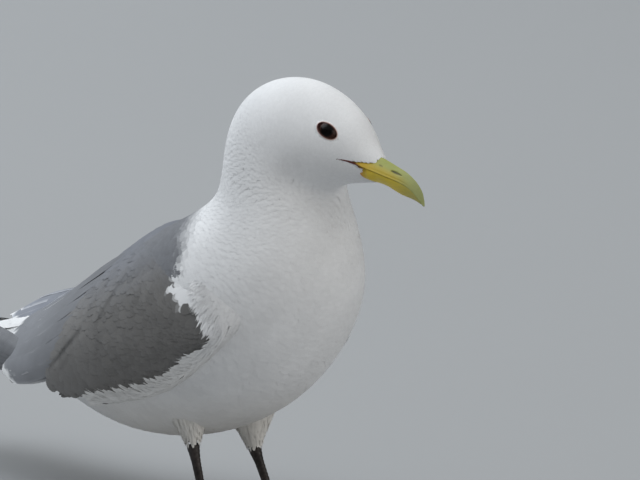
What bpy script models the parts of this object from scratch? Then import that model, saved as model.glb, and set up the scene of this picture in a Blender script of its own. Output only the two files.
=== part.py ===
"""Black-legged kittiwake, adult in breeding plumage, standing, life size, on a thin oval base.

Everything below is in millimetres and is scaled to metres when a mesh is made.
+X is the way the body faces, +Y is the bird's left, +Z is up.  The bird is drawn
with the soles of its feet at z = 0 between its legs; at the end the whole model
is moved so that the origin is under the middle of it, on the floor.
"""
import bpy
import bmesh
import numpy as np
from math import pi, sin, cos, radians, asin, sqrt
from mathutils import Vector

for ob in list(bpy.data.objects):
    bpy.data.objects.remove(ob, do_unlink=True)

MM = 0.001
GAP = 0.30                 # clearance left between neighbouring solids
HEAD_YAW = radians(9.0)    # head turned to the bird's left
TWIST_X = 33.0             # the neck turns about a vertical line at this x
TWIST_Z = (105.0, 155.0)   # the turn builds up between these heights

EYE_POINT = (72.0, 13.35, 184.5)   # middle of the eye opening (x, half spacing, z), head straight
EYE_RADIUS = 7.0
EYE_SINK = 5.7             # eyeball centre below the face
EYE_OUT = (0.457, 0.815, 0.356)   # the way the eye looks: x, outward, up

WING_THICK = 5.0
BASE_LENGTH, BASE_WIDTH, BASE_THICK = 152.0, 112.0, 6.0
BASE_MIDDLE_X = -4.0

# ------------------------------------------------------------------ materials
def material(name, colour, rough):
    m = bpy.data.materials.new(name)
    m.use_nodes = True
    b = m.node_tree.nodes["Principled BSDF"]
    b.inputs["Base Color"].default_value = (*colour, 1.0)
    b.inputs["Roughness"].default_value = rough
    b.inputs["Metallic"].default_value = 0.0
    return m

WHITE = material("plumage_white", (0.78, 0.79, 0.80), 0.80)
GREY = material("plumage_grey", (0.27, 0.29, 0.33), 0.78)
DARK = material("plumage_black", (0.02, 0.02, 0.022), 0.70)
BILL = material("bill_yellow", (0.46, 0.44, 0.09), 0.38)
EYE = material("eye_dark", (0.012, 0.010, 0.010), 0.08)
LEG = material("leg_black", (0.022, 0.020, 0.020), 0.50)
CLAW = material("claw_black", (0.012, 0.011, 0.011), 0.35)
STAND = material("base_grey", (0.30, 0.30, 0.29), 0.60)

# ------------------------------------------------------------------ curves and surfaces
def cubic(table, s):
    """Uniform cubic B-spline through a table of rows, ends held, s from 0 to 1."""
    n = len(table)
    rows = np.vstack([2 * table[0] - table[1], table, 2 * table[-1] - table[-2]])
    t = np.clip(np.asarray(s, float), 0, 1) * (n - 1)
    i = np.minimum(t.astype(int), n - 2)
    f = t - i
    w = [(1 - f) ** 3 / 6, (3 * f ** 3 - 6 * f ** 2 + 4) / 6,
         (-3 * f ** 3 + 3 * f ** 2 + 3 * f + 1) / 6, f ** 3 / 6]
    return sum(w[k][..., None] * rows[i + k] for k in range(4))

def cubic_net(net, p, q):
    """The same spline in two directions over a net of points."""
    p, q = np.broadcast_arrays(np.asarray(p, float), np.asarray(q, float))
    def grow(a):
        return np.concatenate([2 * a[:1] - a[1:2], a, 2 * a[-1:] - a[-2:-1]], 0)
    pts = np.swapaxes(grow(np.swapaxes(grow(net), 0, 1)), 0, 1)
    def weights(t, n):
        t = np.clip(t, 0, 1) * (n - 1)
        i = np.minimum(t.astype(int), n - 2)
        f = t - i
        return i, [(1 - f) ** 3 / 6, (3 * f ** 3 - 6 * f ** 2 + 4) / 6,
                   (-3 * f ** 3 + 3 * f ** 2 + 3 * f + 1) / 6, f ** 3 / 6]
    i, wi = weights(p, net.shape[0])
    j, wj = weights(q, net.shape[1])
    return sum((wi[a] * wj[b])[..., None] * pts[i + a, j + b] for a in range(4) for b in range(4))

def turn_head(pt):
    """Turns what lies above the base of the neck to the bird's left."""
    f = np.clip((pt[..., 2] - TWIST_Z[0]) / (TWIST_Z[1] - TWIST_Z[0]), 0, 1)
    a = HEAD_YAW * f * f * (3 - 2 * f)
    dx, y = pt[..., 0] - TWIST_X, pt[..., 1]
    return np.stack([TWIST_X + dx * np.cos(a) - y * np.sin(a),
                     dx * np.sin(a) + y * np.cos(a), pt[..., 2]], -1)

# Stations of the body from the bill's root over the head, neck and back to the tail's end.
#  crown or back (x, z),  throat or belly (x, z),  half width, where it is widest, squareness
BODY = np.array([
    (91.8, 173.3, 91.0, 162.8, 4.6, .50, 1.0),      # root of the bill
    (86.4, 179.2, 86.5, 162.0, 7.3, .50, 1.0),
    (80.0, 188.6, 80.0, 161.4, 11.2, .50, 1.0),
    (67.0, 198.3, 73.5, 160.2, 16.0, .52, 1.0),
    (50.0, 204.0, 67.5, 158.3, 19.8, .52, 1.0),     # crown
    (32.5, 203.0, 62.0, 156.0, 22.6, .52, 1.0),
    (17.0, 194.9, 61.0, 152.0, 24.3, .52, 1.0),
    (8.9, 180.4, 63.5, 146.0, 26.0, .52, 1.0),     # nape
    (7.8, 165.0, 67.0, 137.5, 28.0, .52, 1.0),
    (7.0, 153.0, 69.5, 124.5, 32.0, .52, 1.0),
    (-2.0, 145.0, 68.5, 108.0, 38.0, .52, 1.0),     # shoulders and breast
    (-14.0, 138.5, 61.0, 90.0, 42.5, .52, 1.0),
    (-28.0, 132.2, 47.5, 71.0, 45.0, .50, 1.0),
    (-43.0, 125.0, 27.0, 54.0, 45.5, .50, 1.0),
    (-60.0, 115.6, 0.0, 41.0, 43.5, .50, 1.0),      # belly
    (-79.0, 104.2, -32.0, 33.0, 38.5, .50, 1.0),
    (-99.0, 92.6, -66.0, 31.5, 30.5, .50, 1.0),
    (-118.0, 82.8, -96.0, 37.0, 22.5, .50, 1.0),
    (-134.0, 76.2, -121.0, 44.5, 17.0, .50, 1.0),
    (-151.0, 71.5, -143.0, 50.5, 14.5, .50, 1.0),   # root of the tail
    (-170.0, 66.5, -165.0, 53.5, 14.0, .50, 0.95),
    (-192.0, 60.5, -189.0, 53.5, 15.5, .50, 0.90),
    (-216.0, 55.5, -214.5, 51.3, 17.5, .50, 0.85),
    (-238.0, 51.8, -237.5, 49.2, 19.0, .50, 0.80),
    (-253.0, 49.4, -253.0, 47.6, 20.0, .50, 0.80),  # end of the tail
], float)
TAIL_NOTCH = 5.0

def body_point(s, th):
    """th = 0 on the back, pi on the belly, over pi on the bird's right side."""
    s, th = np.broadcast_arrays(np.asarray(s, float), np.asarray(th, float))
    c = cubic(BODY, s)
    t = 0.5 - 0.5 * np.cos(th)
    t = t + (c[..., 5] - 0.5) * 4 * t * (1 - t)
    x = c[..., 0] + (c[..., 2] - c[..., 0]) * t
    z = c[..., 1] + (c[..., 3] - c[..., 1]) * t
    sn = np.sin(th)
    y = c[..., 4] * np.sign(sn) * np.abs(sn) ** c[..., 6]
    end = np.clip((-x - 215.0) / 38.0, 0, 1) ** 2
    x = x + TAIL_NOTCH * end * (1 - np.abs(y) / 20.0)
    return turn_head(np.stack([x, y, z], -1))

# The folded wing's outer side: rows from the wrist to the tips of the tertials,
# columns from the scapular edge down to the edge of the coverts.
WING_RIGHT = np.array([
    [(16, -25, 134), (25, -37, 124), (31, -44, 109), (31, -46, 93), (25, -44, 80)],
    [(-6, -19, 138), (0, -36, 129), (4, -48, 109), (4, -51, 88), (0, -47, 69)],
    [(-34, -13, 131), (-28, -33, 122), (-24, -49, 103), (-24, -53, 80), (-26, -48, 61)],
    [(-62, -10, 117), (-56, -28, 108), (-52, -46, 92), (-52, -51, 72), (-54, -47, 54)],
    [(-90, -10, 99), (-86, -23, 93), (-82, -39, 80), (-82, -45, 65), (-84, -42, 50)],
    [(-118, -10, 82), (-115, -18, 78), (-111, -30, 69), (-110, -37, 59), (-110, -36, 49)],
    [(-146, -11, 69), (-144, -15, 66), (-141, -22, 61), (-138, -28, 55), (-136, -29, 49)],
], float)
# The near wing hangs a little loose; the left one is folded up closer to the back.
LEFT_LIFT = ((3, 1.5), (4, 5.0), (5, 10.0), (6, 16.0))
WING_LEFT = WING_RIGHT * np.array([1, -1, 1])
for row, lift in LEFT_LIFT:
    WING_LEFT[row, :, 2] += lift * np.array([1, .95, .8, .65, .5])

def wing_point(net, u, v):
    """u runs from wrist to tips, v from the upper to the lower edge; the ends are rounded."""
    edge = np.abs(2 * v - 1) ** 3
    start = 0.05 * edge
    stop = 1.0 - 0.11 * edge - 0.018 * (1 - np.abs(np.sin(3.5 * pi * v)))
    return cubic_net(net, start + (stop - start) * u, v)

# Folded primaries: lower and upper edge lines of the blade, from under the tertials to the tip.
BLADE_LOW = np.array([(-122, -30, 49), (-150, -28, 48.5), (-200, -26, 51), (-245, -20, 54), (-277, -10, 56.5)], float)
BLADE_TOP = np.array([(-124, -20, 67), (-150, -13.5, 69.5), (-200, -9.5, 67), (-245, -7.5, 62), (-277, -8.5, 58.5)], float)
BLADE_BULGE = 3.5
BLADE_THICK = (8.0, 3.4, 2.4, 1.8, 1.1)
PRIMARY_TIPS = (-186.0, -202.0, -219.0, -237.0, -256.0)   # x of the tips seen above the longest one

def tube_through(values, t):
    """Piecewise linear reading of a short list of sizes."""
    return np.interp(t, np.linspace(0, 1, len(values)), values)

# ------------------------------------------------------------------ mesh helpers
def mesh_object(name, verts, faces, mat=None):
    me = bpy.data.meshes.new(name)
    me.from_pydata([tuple(float(c) * MM for c in v) for v in verts], [], faces)
    bm = bmesh.new()
    bm.from_mesh(me)
    bmesh.ops.remove_doubles(bm, verts=bm.verts, dist=1e-6)
    bmesh.ops.triangulate(bm, faces=bm.faces)
    bmesh.ops.recalc_face_normals(bm, faces=bm.faces)
    bm.to_mesh(me)
    bm.free()
    ob = bpy.data.objects.new(name, me)
    bpy.context.scene.collection.objects.link(ob)
    if mat:
        me.materials.append(mat)
    return ob

def closed_rings(name, rings, mat=None):
    """Skin over equal rings of points with a fan over each end."""
    rings = np.asarray(rings, float)
    m, n = rings.shape[:2]
    verts = [tuple(p) for p in rings.reshape(-1, 3)]
    faces = [(i * n + j, i * n + (j + 1) % n, (i + 1) * n + (j + 1) % n, (i + 1) * n + j)
             for i in range(m - 1) for j in range(n)]
    for row, base in ((rings[0], 0), (rings[-1], (m - 1) * n)):
        verts.append(tuple(row.mean(0)))
        c = len(verts) - 1
        faces += [(c, base + j, base + (j + 1) % n) for j in range(n)]
    return mesh_object(name, verts, faces, mat)

def closed_sheet(name, outer, inner, mat=None):
    """A solid between two equal grids, walled round its edge."""
    m, n = outer.shape[:2]
    verts = [tuple(p) for p in outer.reshape(-1, 3)] + [tuple(p) for p in inner.reshape(-1, 3)]
    k = m * n
    faces = []
    for i in range(m - 1):
        for j in range(n - 1):
            a, b, c, d = i * n + j, i * n + j + 1, (i + 1) * n + j + 1, (i + 1) * n + j
            faces += [(a, b, c, d), (k + d, k + c, k + b, k + a)]
    rim = [j for j in range(n)] + [i * n + n - 1 for i in range(1, m)] \
        + [(m - 1) * n + j for j in range(n - 2, -1, -1)] + [i * n for i in range(m - 2, 0, -1)]
    for a, b in zip(rim, rim[1:] + rim[:1]):
        faces.append((b, a, k + a, k + b))
    return mesh_object(name, verts, faces, mat)

def swollen(ob, by):
    """A copy grown along its normals, used as a cutter that leaves a gap."""
    c = ob.copy()
    c.data = ob.data.copy()
    bpy.context.scene.collection.objects.link(c)
    bm = bmesh.new()
    bm.from_mesh(c.data)
    bm.normal_update()
    moves = [(v, v.normal.copy()) for v in bm.verts]
    for v, nrm in moves:
        v.co += nrm * by * MM
    bm.to_mesh(c.data)
    bm.free()
    return c

def largest_piece(me):
    bm = bmesh.new()
    bm.from_mesh(me)
    bm.verts.ensure_lookup_table()
    left, best = set(bm.verts), []
    while left:
        seed = left.pop()
        group, stack = [seed], [seed]
        while stack:
            for e in stack.pop().link_edges:
                for w in e.verts:
                    if w in left:
                        left.discard(w)
                        group.append(w)
                        stack.append(w)
        if len(group) > len(best):
            best = group
    keep = set(best)
    bmesh.ops.delete(bm, geom=[v for v in bm.verts if v not in keep], context='VERTS')
    bmesh.ops.triangulate(bm, faces=bm.faces)
    bmesh.ops.dissolve_degenerate(bm, dist=2e-6, edges=bm.edges)
    bmesh.ops.triangulate(bm, faces=bm.faces)
    bm.to_mesh(me)
    bm.free()

def carve(ob, cutters):
    """Takes the cutters away from a solid and keeps its largest piece."""
    for c in cutters:
        mod = ob.modifiers.new("carve", 'BOOLEAN')
        mod.operation = 'DIFFERENCE'
        mod.solver = 'EXACT'
        mod.object = c
    bpy.context.view_layer.update()
    dg = bpy.context.evaluated_depsgraph_get()
    me = bpy.data.meshes.new_from_object(ob.evaluated_get(dg))
    ob.modifiers.clear()
    ob.data = me
    largest_piece(me)
    return ob

def drop(*obs):
    for o in obs:
        bpy.data.objects.remove(o, do_unlink=True)

def sliced(source, name, cuts, mat):
    """The part of a solid on the positive side of each plane (point, direction), capped."""
    me = source.data.copy()
    bm = bmesh.new()
    bm.from_mesh(me)
    for point, direction in cuts:
        geom = bm.verts[:] + bm.edges[:] + bm.faces[:]
        bmesh.ops.bisect_plane(bm, geom=geom, dist=1e-7, plane_co=Vector(point) * MM,
                               plane_no=Vector(direction), clear_inner=True)
        rim = [e for e in bm.edges if e.is_boundary]
        bmesh.ops.holes_fill(bm, edges=rim, sides=0)
    bmesh.ops.remove_doubles(bm, verts=bm.verts, dist=2e-6)
    bmesh.ops.triangulate(bm, faces=bm.faces)
    bmesh.ops.recalc_face_normals(bm, faces=bm.faces)
    bm.to_mesh(me)
    bm.free()
    me.materials.clear()
    me.materials.append(mat)
    ob = bpy.data.objects.new(name, me)
    bpy.context.scene.collection.objects.link(ob)
    return ob

# ------------------------------------------------------------------ body: one form, parted by thin cuts
RINGS, SIDES = 47, 28
ring_s = np.linspace(0, 1, RINGS)
ring_th = np.linspace(0, 2 * pi, SIDES, endpoint=False)
whole = closed_rings("whole_body", body_point(ring_s[:, None], ring_th[None, :]))

def cut_plane(back, front, shift):
    """A plane across the body through a point of the back and one of the front, moved along itself."""
    d = np.array([front[0] - back[0], 0.0, front[1] - back[1]])
    n = np.array([-d[2], 0.0, d[0]])
    n = n / np.linalg.norm(n)
    p = np.array([back[0], 0.0, back[1]]) + n * shift
    return tuple(p), tuple(n)

NECK_TOP = ((10.0, 170.0), (63.0, 147.0))      # under the head
NECK_FOOT = ((-2.0, 146.5), (70.0, 110.0))     # above the breast
TAIL_ROOT = ((-150.0, 72.0), (-142.5, 50.0))   # behind the rump

def ahead(line, by):
    return cut_plane(*line, by)

def behind(line, by):
    p, n = cut_plane(*line, -by)
    return p, tuple(-c for c in n)

half = GAP / 2
head = sliced(whole, "head", [ahead(NECK_TOP, half)], WHITE)
neck = sliced(whole, "neck", [behind(NECK_TOP, half), ahead(NECK_FOOT, half)], WHITE)
tp, tn = cut_plane(*TAIL_ROOT, half)
trunk = sliced(whole, "trunk", [behind(NECK_FOOT, half), (tp, tn)], WHITE)
tp, tn = cut_plane(*TAIL_ROOT, -half)
tail = sliced(whole, "tail", [(tp, tuple(-c for c in tn))], WHITE)

# ------------------------------------------------------------------ bill
# x along the bill; culmen height, cutting-edge height, underside height, half width
CULMEN = ((78, 176.0), (86, 174.6), (92.8, 173.2), (97, 171.8), (100.8, 170.4), (104.5, 169.1), (107.6, 167.6), (110.2, 165.9), (112.3, 164.1), (114.0, 162.1), (115.1, 160.2), (115.8, 157.2))
CUTTING = ((78, 171.6), (84, 170.8), (86.4, 170.1), (89.2, 169.0), (93.5, 167.6), (97.8, 166.3), (104, 164.6), (108.2, 162.8), (111.0, 160.6), (113.5, 157.6), (115.8, 154.8))
UNDER = ((78, 164.8), (85, 163.6), (90, 162.6), (93.2, 161.9), (96.4, 161.1), (100, 159.6), (103, 158.6), (106, 158.0), (109, 157.4), (111, 156.8), (113.4, 155.9), (114.4, 155.5))
HALF_WIDTH = ((78, 8.6), (82, 9.0), (84, 9.2), (88, 7.8), (92, 6.5), (96, 5.5), (100, 4.7), (104, 3.8), (108, 2.8), (111, 2.0), (113.5, 1.3), (115.8, 0.5))

def read(table, x):
    xs, ys = zip(*table)
    return float(np.interp(x, xs, ys))

def upper_ring(x, n=7):
    top, low, w = read(CULMEN, x), read(CUTTING, x), read(HALF_WIDTH, x)
    top = max(top, low + 0.7)
    ring = []
    for k in range(n):
        a = pi * k / (n - 1)
        h = sin(a)
        y = w * (1 - h ** 1.25) ** 0.85 * (1 if cos(a) > 0 else -1)
        ring.append((x, y, low + (top - low) * h))
    for f in (-0.5, 0.0, 0.5):
        ring.append((x, w * f, low + 0.10 * (top - low)))
    return ring

def lower_ring(x, n=7):
    high, low, w = read(CUTTING, x) - GAP, read(UNDER, x), read(HALF_WIDTH, x) * 0.95
    low = min(low, high - 0.8)
    ring = []
    for k in range(n):
        a = pi * k / (n - 1)
        h = sin(a)
        y = w * (1 - h ** 1.6) ** 0.8 * (1 if cos(a) > 0 else -1)
        ring.append((x, -y, high - (high - low) * h))
    for f in (0.5, 0.0, -0.5):
        ring.append((x, w * f, high - 0.02))
    return ring

ux = [78, 84, 88, 91, 94, 97, 100, 103, 105.5, 107.6, 109.5, 111.2, 112.6, 113.8, 114.8, 115.5, 115.8]
lx = [78, 84, 88, 91, 94, 97, 100, 103, 105.5, 107.5, 109.2, 110.8, 112.2, 113.4, 114.3]
bill_upper = closed_rings("bill_upper", turn_head(np.array([upper_ring(x) for x in ux])), BILL)
bill_lower = closed_rings("bill_lower", turn_head(np.array([lower_ring(x) for x in lx])), BILL)

# ------------------------------------------------------------------ eyes
def eyeball(name, side, radius):
    ex, ey, ez = EYE_POINT
    out = np.array([EYE_OUT[0], side * EYE_OUT[1], EYE_OUT[2]])
    out = out / np.linalg.norm(out)
    c = np.array([ex, side * ey, ez]) - out * EYE_SINK
    c = turn_head(c)
    bm = bmesh.new()
    bmesh.ops.create_uvsphere(bm, u_segments=14, v_segments=8, radius=radius * MM)
    me = bpy.data.meshes.new(name)
    bm.to_mesh(me)
    bm.free()
    for v in me.vertices:
        v.co += Vector(c) * MM
    ob = bpy.data.objects.new(name, me)
    me.materials.append(EYE)
    bpy.context.scene.collection.objects.link(ob)
    return ob

eye_right = eyeball("eye_right", -1, EYE_RADIUS)
eye_left = eyeball("eye_left", 1, EYE_RADIUS)
cuts = [eyeball("socket", -1, EYE_RADIUS + GAP), eyeball("socket", 1, EYE_RADIUS + GAP),
        swollen(bill_upper, GAP), swollen(bill_lower, GAP)]
carve(head, cuts)
drop(*cuts)

# ------------------------------------------------------------------ wings
body_cutter = swollen(whole, GAP)

def grid_normals(g):
    n = np.cross(np.gradient(g, axis=0), np.gradient(g, axis=1))
    return n / (np.linalg.norm(n, axis=-1, keepdims=True) + 1e-9)

def wing(name, net, side):
    u = np.linspace(0, 1, 15)[:, None]
    v = np.linspace(0, 1, 10)[None, :]
    outer = wing_point(net, u, v)
    n = grid_normals(outer)
    if (n[..., 1].mean() > 0) != (side > 0):
        n = -n
    thick = 1.3 + WING_THICK * np.sqrt(np.clip(np.sin(pi * u) * np.sin(pi * v), 0, 1))
    ob = closed_sheet(name, outer, outer - n * thick[..., None], GREY)
    return carve(ob, [body_cutter])

wing_right = wing("wing_right", WING_RIGHT, -1)
wing_left = wing("wing_left", WING_LEFT, 1)

def primaries(name, side, lift, wing_ob):
    rings = []
    ts = np.linspace(0, 1, 22)
    low, top = cubic(BLADE_LOW, ts), cubic(BLADE_TOP, ts)
    for t, a, b in zip(ts, low, top):
        a, b = a.copy(), b.copy()
        # steps left by the tips of the shorter primaries along the upper edge
        x = b[0]
        step = 0.0
        for tip in PRIMARY_TIPS:
            if tip - 14 < x <= tip + 2:
                step = 2.4 * (1 - (tip + 2 - x) / 16.0)
        along = (a - b) / (np.linalg.norm(a - b) + 1e-9)
        b = b + along * step * (1 - t)
        mid, hv = (a + b) / 2, (b - a) / 2
        tv = np.cross(hv / (np.linalg.norm(hv) + 1e-9), (1.0, 0, 0))
        if tv[1] > 0:
            tv = -tv
        th = tube_through(BLADE_THICK, t) / 2
        bulge = BLADE_BULGE * min(1.0, 3.0 * (1 - t))
        ring = [mid + hv * cos(k) + tv * (th * sin(k) + bulge * sin(k) ** 2)
                for k in np.linspace(0, 2 * pi, 8, endpoint=False)]
        rings.append(ring)
    rings = np.array(rings)
    if side > 0:
        rings = rings * np.array([1, -1, 1])
    f = np.clip((-100 - rings[..., 0]) / 60.0, 0, 1)
    rings[..., 2] += lift * f * (1 - 0.35 * np.clip((-160 - rings[..., 0]) / 115.0, 0, 1))
    ob = closed_rings(name, rings, DARK)
    w = swollen(wing_ob, GAP)
    carve(ob, [body_cutter, w])
    drop(w)
    return ob

tip_right = primaries("wingtip_right", -1, 0.0, wing_right)
tip_left = primaries("wingtip_left", 1, 3.0, wing_left)

# ------------------------------------------------------------------ legs
# ankle (x, z) and toe joint (x, z); the left leg is the straighter-feathered, more bent one
LEG_Y = 16.6
ANKLE = {-1: (-8.4, 36.0), 1: (-6.5, 30.5)}
TOE_JOINT = {-1: (2.5, 5.2), 1: (7.5, 5.2)}
TOE_JOINT_Y = 17.2

def ring_about(c, direction, rx, ry, n):
    d = Vector(direction).normalized()
    a = d.cross(Vector((0, 1, 0))).normalized()
    b = d.cross(a).normalized()
    return [tuple(Vector(c) + a * rx * cos(k) + b * ry * sin(k)) for k in np.linspace(0, 2 * pi, n, endpoint=False)]

def thigh(name, side, shank_ob):
    ax, az = ANKLE[side]
    y = side * LEG_Y
    top = (ax - 4.0, az + 24.0)
    rows = ((0.0, 15.0), (0.25, 13.5), (0.45, 11.0), (0.62, 8.4), (0.78, 6.2), (0.90, 4.8), (1.0, 3.9))
    rings = []
    for t, r in rows:
        c = (top[0] + (ax - top[0]) * t, y, top[1] + (az - top[1]) * t)
        rings.append(ring_about(c, (ax - top[0], 0, az - top[1]), r, r * 0.86, 14))
    ob = closed_rings(name, rings, WHITE)
    room = swollen(shank_ob, GAP)
    carve(ob, [body_cutter, room])
    drop(room)
    return ob

def shank(name, side):
    (ax, az), (jx, jz) = ANKLE[side], TOE_JOINT[side]
    ya, yj = side * LEG_Y, side * TOE_JOINT_Y
    d = Vector((jx - ax, yj - ya, jz - az))
    rows = ((0.0, 3.0, 2.6), (0.06, 3.15, 2.7), (0.14, 2.7, 2.25), (0.25, 2.35, 1.85), (0.5, 2.15, 1.7),
            (0.75, 2.15, 1.75), (0.88, 2.45, 2.0), (1.0, 2.6, 2.3))
    rings = []
    for t, rx, ry in rows:
        c = Vector((ax, ya, az)) + d * t
        rings.append(ring_about(c, d, rx, ry, 12))
    rings = np.array(rings)
    rings[-1][:, 2] = jz                      # a level foot to the shank, over the toes
    rings[0][:, 2] = rings[0][:, 2] - GAP
    return closed_rings(name, rings, LEG)

# Toes from the joint: angle outward, length without claw, half width
TOES = (("inner", -20.0, 26.0, 1.55), ("middle", 2.0, 36.5, 1.75), ("outer", 21.0, 33.0, 1.60))
FOOT_TURN = 4.0
WEB = 0.85
SOLE_KNOB = 3.5
KNOB_TOP = 4.9

def toe_height(length, r):
    return 3.3 - 1.1 * min(1.0, max(0.0, r / length))

def foot_point(side, r, a):
    return np.array([r * cos(a), side * r * sin(a)])

def foot(name, side):
    jx = TOE_JOINT[side][0]
    y0 = side * TOE_JOINT_Y
    angles = [radians(t[1] + FOOT_TURN) for t in TOES]
    picks = set()
    for a, t in zip(angles, TOES):
        w = asin(t[3] / t[2])
        for f in (-1.0, -0.5, 0.5, 1.0, -2.2, 2.2):
            picks.add(round(a + f * w, 5))
    for k in range(3):
        picks.add(round(angles[0] + (angles[1] - angles[0]) * (k + 1) / 4, 5))
        picks.add(round(angles[1] + (angles[2] - angles[1]) * (k + 1) / 4, 5))
    for k in range(9):
        picks.add(round(angles[2] + 0.22 + (2 * pi - (angles[2] - angles[0]) - 0.44) * k / 8, 5))
    ths = sorted(picks)
    radii = []
    for a in ths:
        best = SOLE_KNOB
        for b, t in zip(angles, TOES):
            d = (a - b + pi) % (2 * pi) - pi
            if abs(d) < pi / 2:
                half_w = t[3] / max(abs(sin(d)), 1e-6)
                w = asin(t[3] / t[2])
                tipr = t[2] - 1.2 * min(1.0, abs(d) / w) ** 2
                best = max(best, min(half_w, tipr))
        for (b0, t0), (b1, t1) in zip(list(zip(angles, TOES))[:-1], list(zip(angles, TOES))[1:]):
            if b0 <= a <= b1:
                f = (a - b0) / (b1 - b0)
                straight = (t0[2] * (1 - f) + t1[2] * f) * 0.93
                best = max(best, straight - 5.5 * sin(pi * f))
        radii.append(best)
    steps = (0.11, 0.24, 0.50, 0.78, 0.95, 1.0)
    verts, faces, n = [], [], len(ths)
    def height(p, r):
        h = WEB
        for b, t in zip(angles, TOES):
            c, s = cos(b), sin(b)
            u, v = p[0] * c + p[1] * s, -p[0] * s + p[1] * c
            if u > 0 and abs(v) < t[3]:
                h = max(h, WEB + (toe_height(t[2], u) - WEB) * sqrt(1 - (v / t[3]) ** 2))
        if r < SOLE_KNOB + 1.5:
            h = max(h, KNOB_TOP * sqrt(max(0.0, 1 - (r / (SOLE_KNOB + 1.6)) ** 4)))
        return h
    verts.append((jx, y0, KNOB_TOP))
    for f in steps:
        for a, rr in zip(ths, radii):
            r = rr * f
            p = (r * cos(a), r * sin(a))
            h = height(p, r)
            if f == 1.0:
                h = min(h, 0.6)
            elif f == 0.95:
                h = min(h, 1.9)
            verts.append((jx + p[0], y0 + side * p[1], h))
    base = len(verts)
    for a, rr in zip(ths, radii):
        verts.append((jx + rr * cos(a), y0 + side * rr * sin(a), 0.0))
    verts.append((jx, y0, 0.0))
    faces += [(0, 1 + j, 1 + (j + 1) % n) for j in range(n)]
    for i in range(len(steps) - 1):
        for j in range(n):
            k = (j + 1) % n
            faces.append((1 + i * n + j, 1 + (i + 1) * n + j, 1 + (i + 1) * n + k, 1 + i * n + k))
    last = 1 + (len(steps) - 1) * n
    for j in range(n):
        k = (j + 1) % n
        faces.append((last + j, base + j, base + k, last + k))
        faces.append((base + j, len(verts) - 1, base + k))
    ob = mesh_object(name, verts, faces, LEG)
    return ob

CLAW_LENGTH = {"inner": 5.0, "middle": 6.5, "outer": 4.8}

def claw(name, side, toe):
    label, ang, length, w = toe
    a = radians(ang + FOOT_TURN)
    L = CLAW_LENGTH[label]
    rings = []
    for t in (0.0, 0.35, 0.7, 1.0):
        r = length + GAP + L * t
        rad = (1.10 - 0.85 * t) * (w / 1.75)
        z = 1.15 + 0.35 * sin(pi * t * 0.8) - 0.75 * t * t
        c = (TOE_JOINT[side][0] + r * cos(a), side * (TOE_JOINT_Y + r * sin(a)), z)
        ring = []
        for k in np.linspace(0, 2 * pi, 7, endpoint=False):
            dy, dz = 0.72 * rad * cos(k), rad * sin(k)
            ring.append((c[0] - dy * sin(a), c[1] + side * dy * cos(a), max(0.05, c[2] + dz)))
        rings.append(ring)
    return closed_rings(name, rings, CLAW)

legs = []
for side, word in ((-1, "right"), (1, "left")):
    legs.append(shank("shank_" + word, side))
    legs.append(thigh("thigh_" + word, side, legs[-1]))
    legs.append(foot("foot_" + word, side))
    for toe in TOES:
        legs.append(claw("claw_" + toe[0] + "_" + word, side, toe))

drop(body_cutter, whole)

# ------------------------------------------------------------------ base
bm = bmesh.new()
bmesh.ops.create_circle(bm, cap_ends=True, segments=40, radius=1.0)
for v in bm.verts:
    v.co.x *= BASE_LENGTH / 2 * MM
    v.co.y *= BASE_WIDTH / 2 * MM
    v.co.x += BASE_MIDDLE_X * MM
    v.co.z = -(BASE_THICK + GAP) * MM
out = bmesh.ops.extrude_face_region(bm, geom=bm.faces[:])
for v in [g for g in out["geom"] if isinstance(g, bmesh.types.BMVert)]:
    v.co.z = -GAP * MM
top_edges = [e for e in bm.edges if all(abs(v.co.z + GAP * MM) < 1e-7 for v in e.verts)]
bmesh.ops.bevel(bm, geom=top_edges, offset=1.2 * MM, segments=2, affect='EDGES', profile=0.5)
bmesh.ops.recalc_face_normals(bm, faces=bm.faces)
me = bpy.data.meshes.new("stand_base")
bm.to_mesh(me)
bm.free()
me.materials.append(STAND)
base = bpy.data.objects.new("stand_base", me)
bpy.context.scene.collection.objects.link(base)

# ------------------------------------------------------------------ origin on the floor under the middle
pts = np.array([tuple(v.co) for ob in bpy.data.objects if ob.type == 'MESH' for v in ob.data.vertices])
lo, hi = pts.min(0), pts.max(0)
move = Vector((-(lo[0] + hi[0]) / 2, -(lo[1] + hi[1]) / 2, -lo[2]))
for ob in bpy.data.objects:
    if ob.type == 'MESH':
        for v in ob.data.vertices:
            v.co += move
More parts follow.
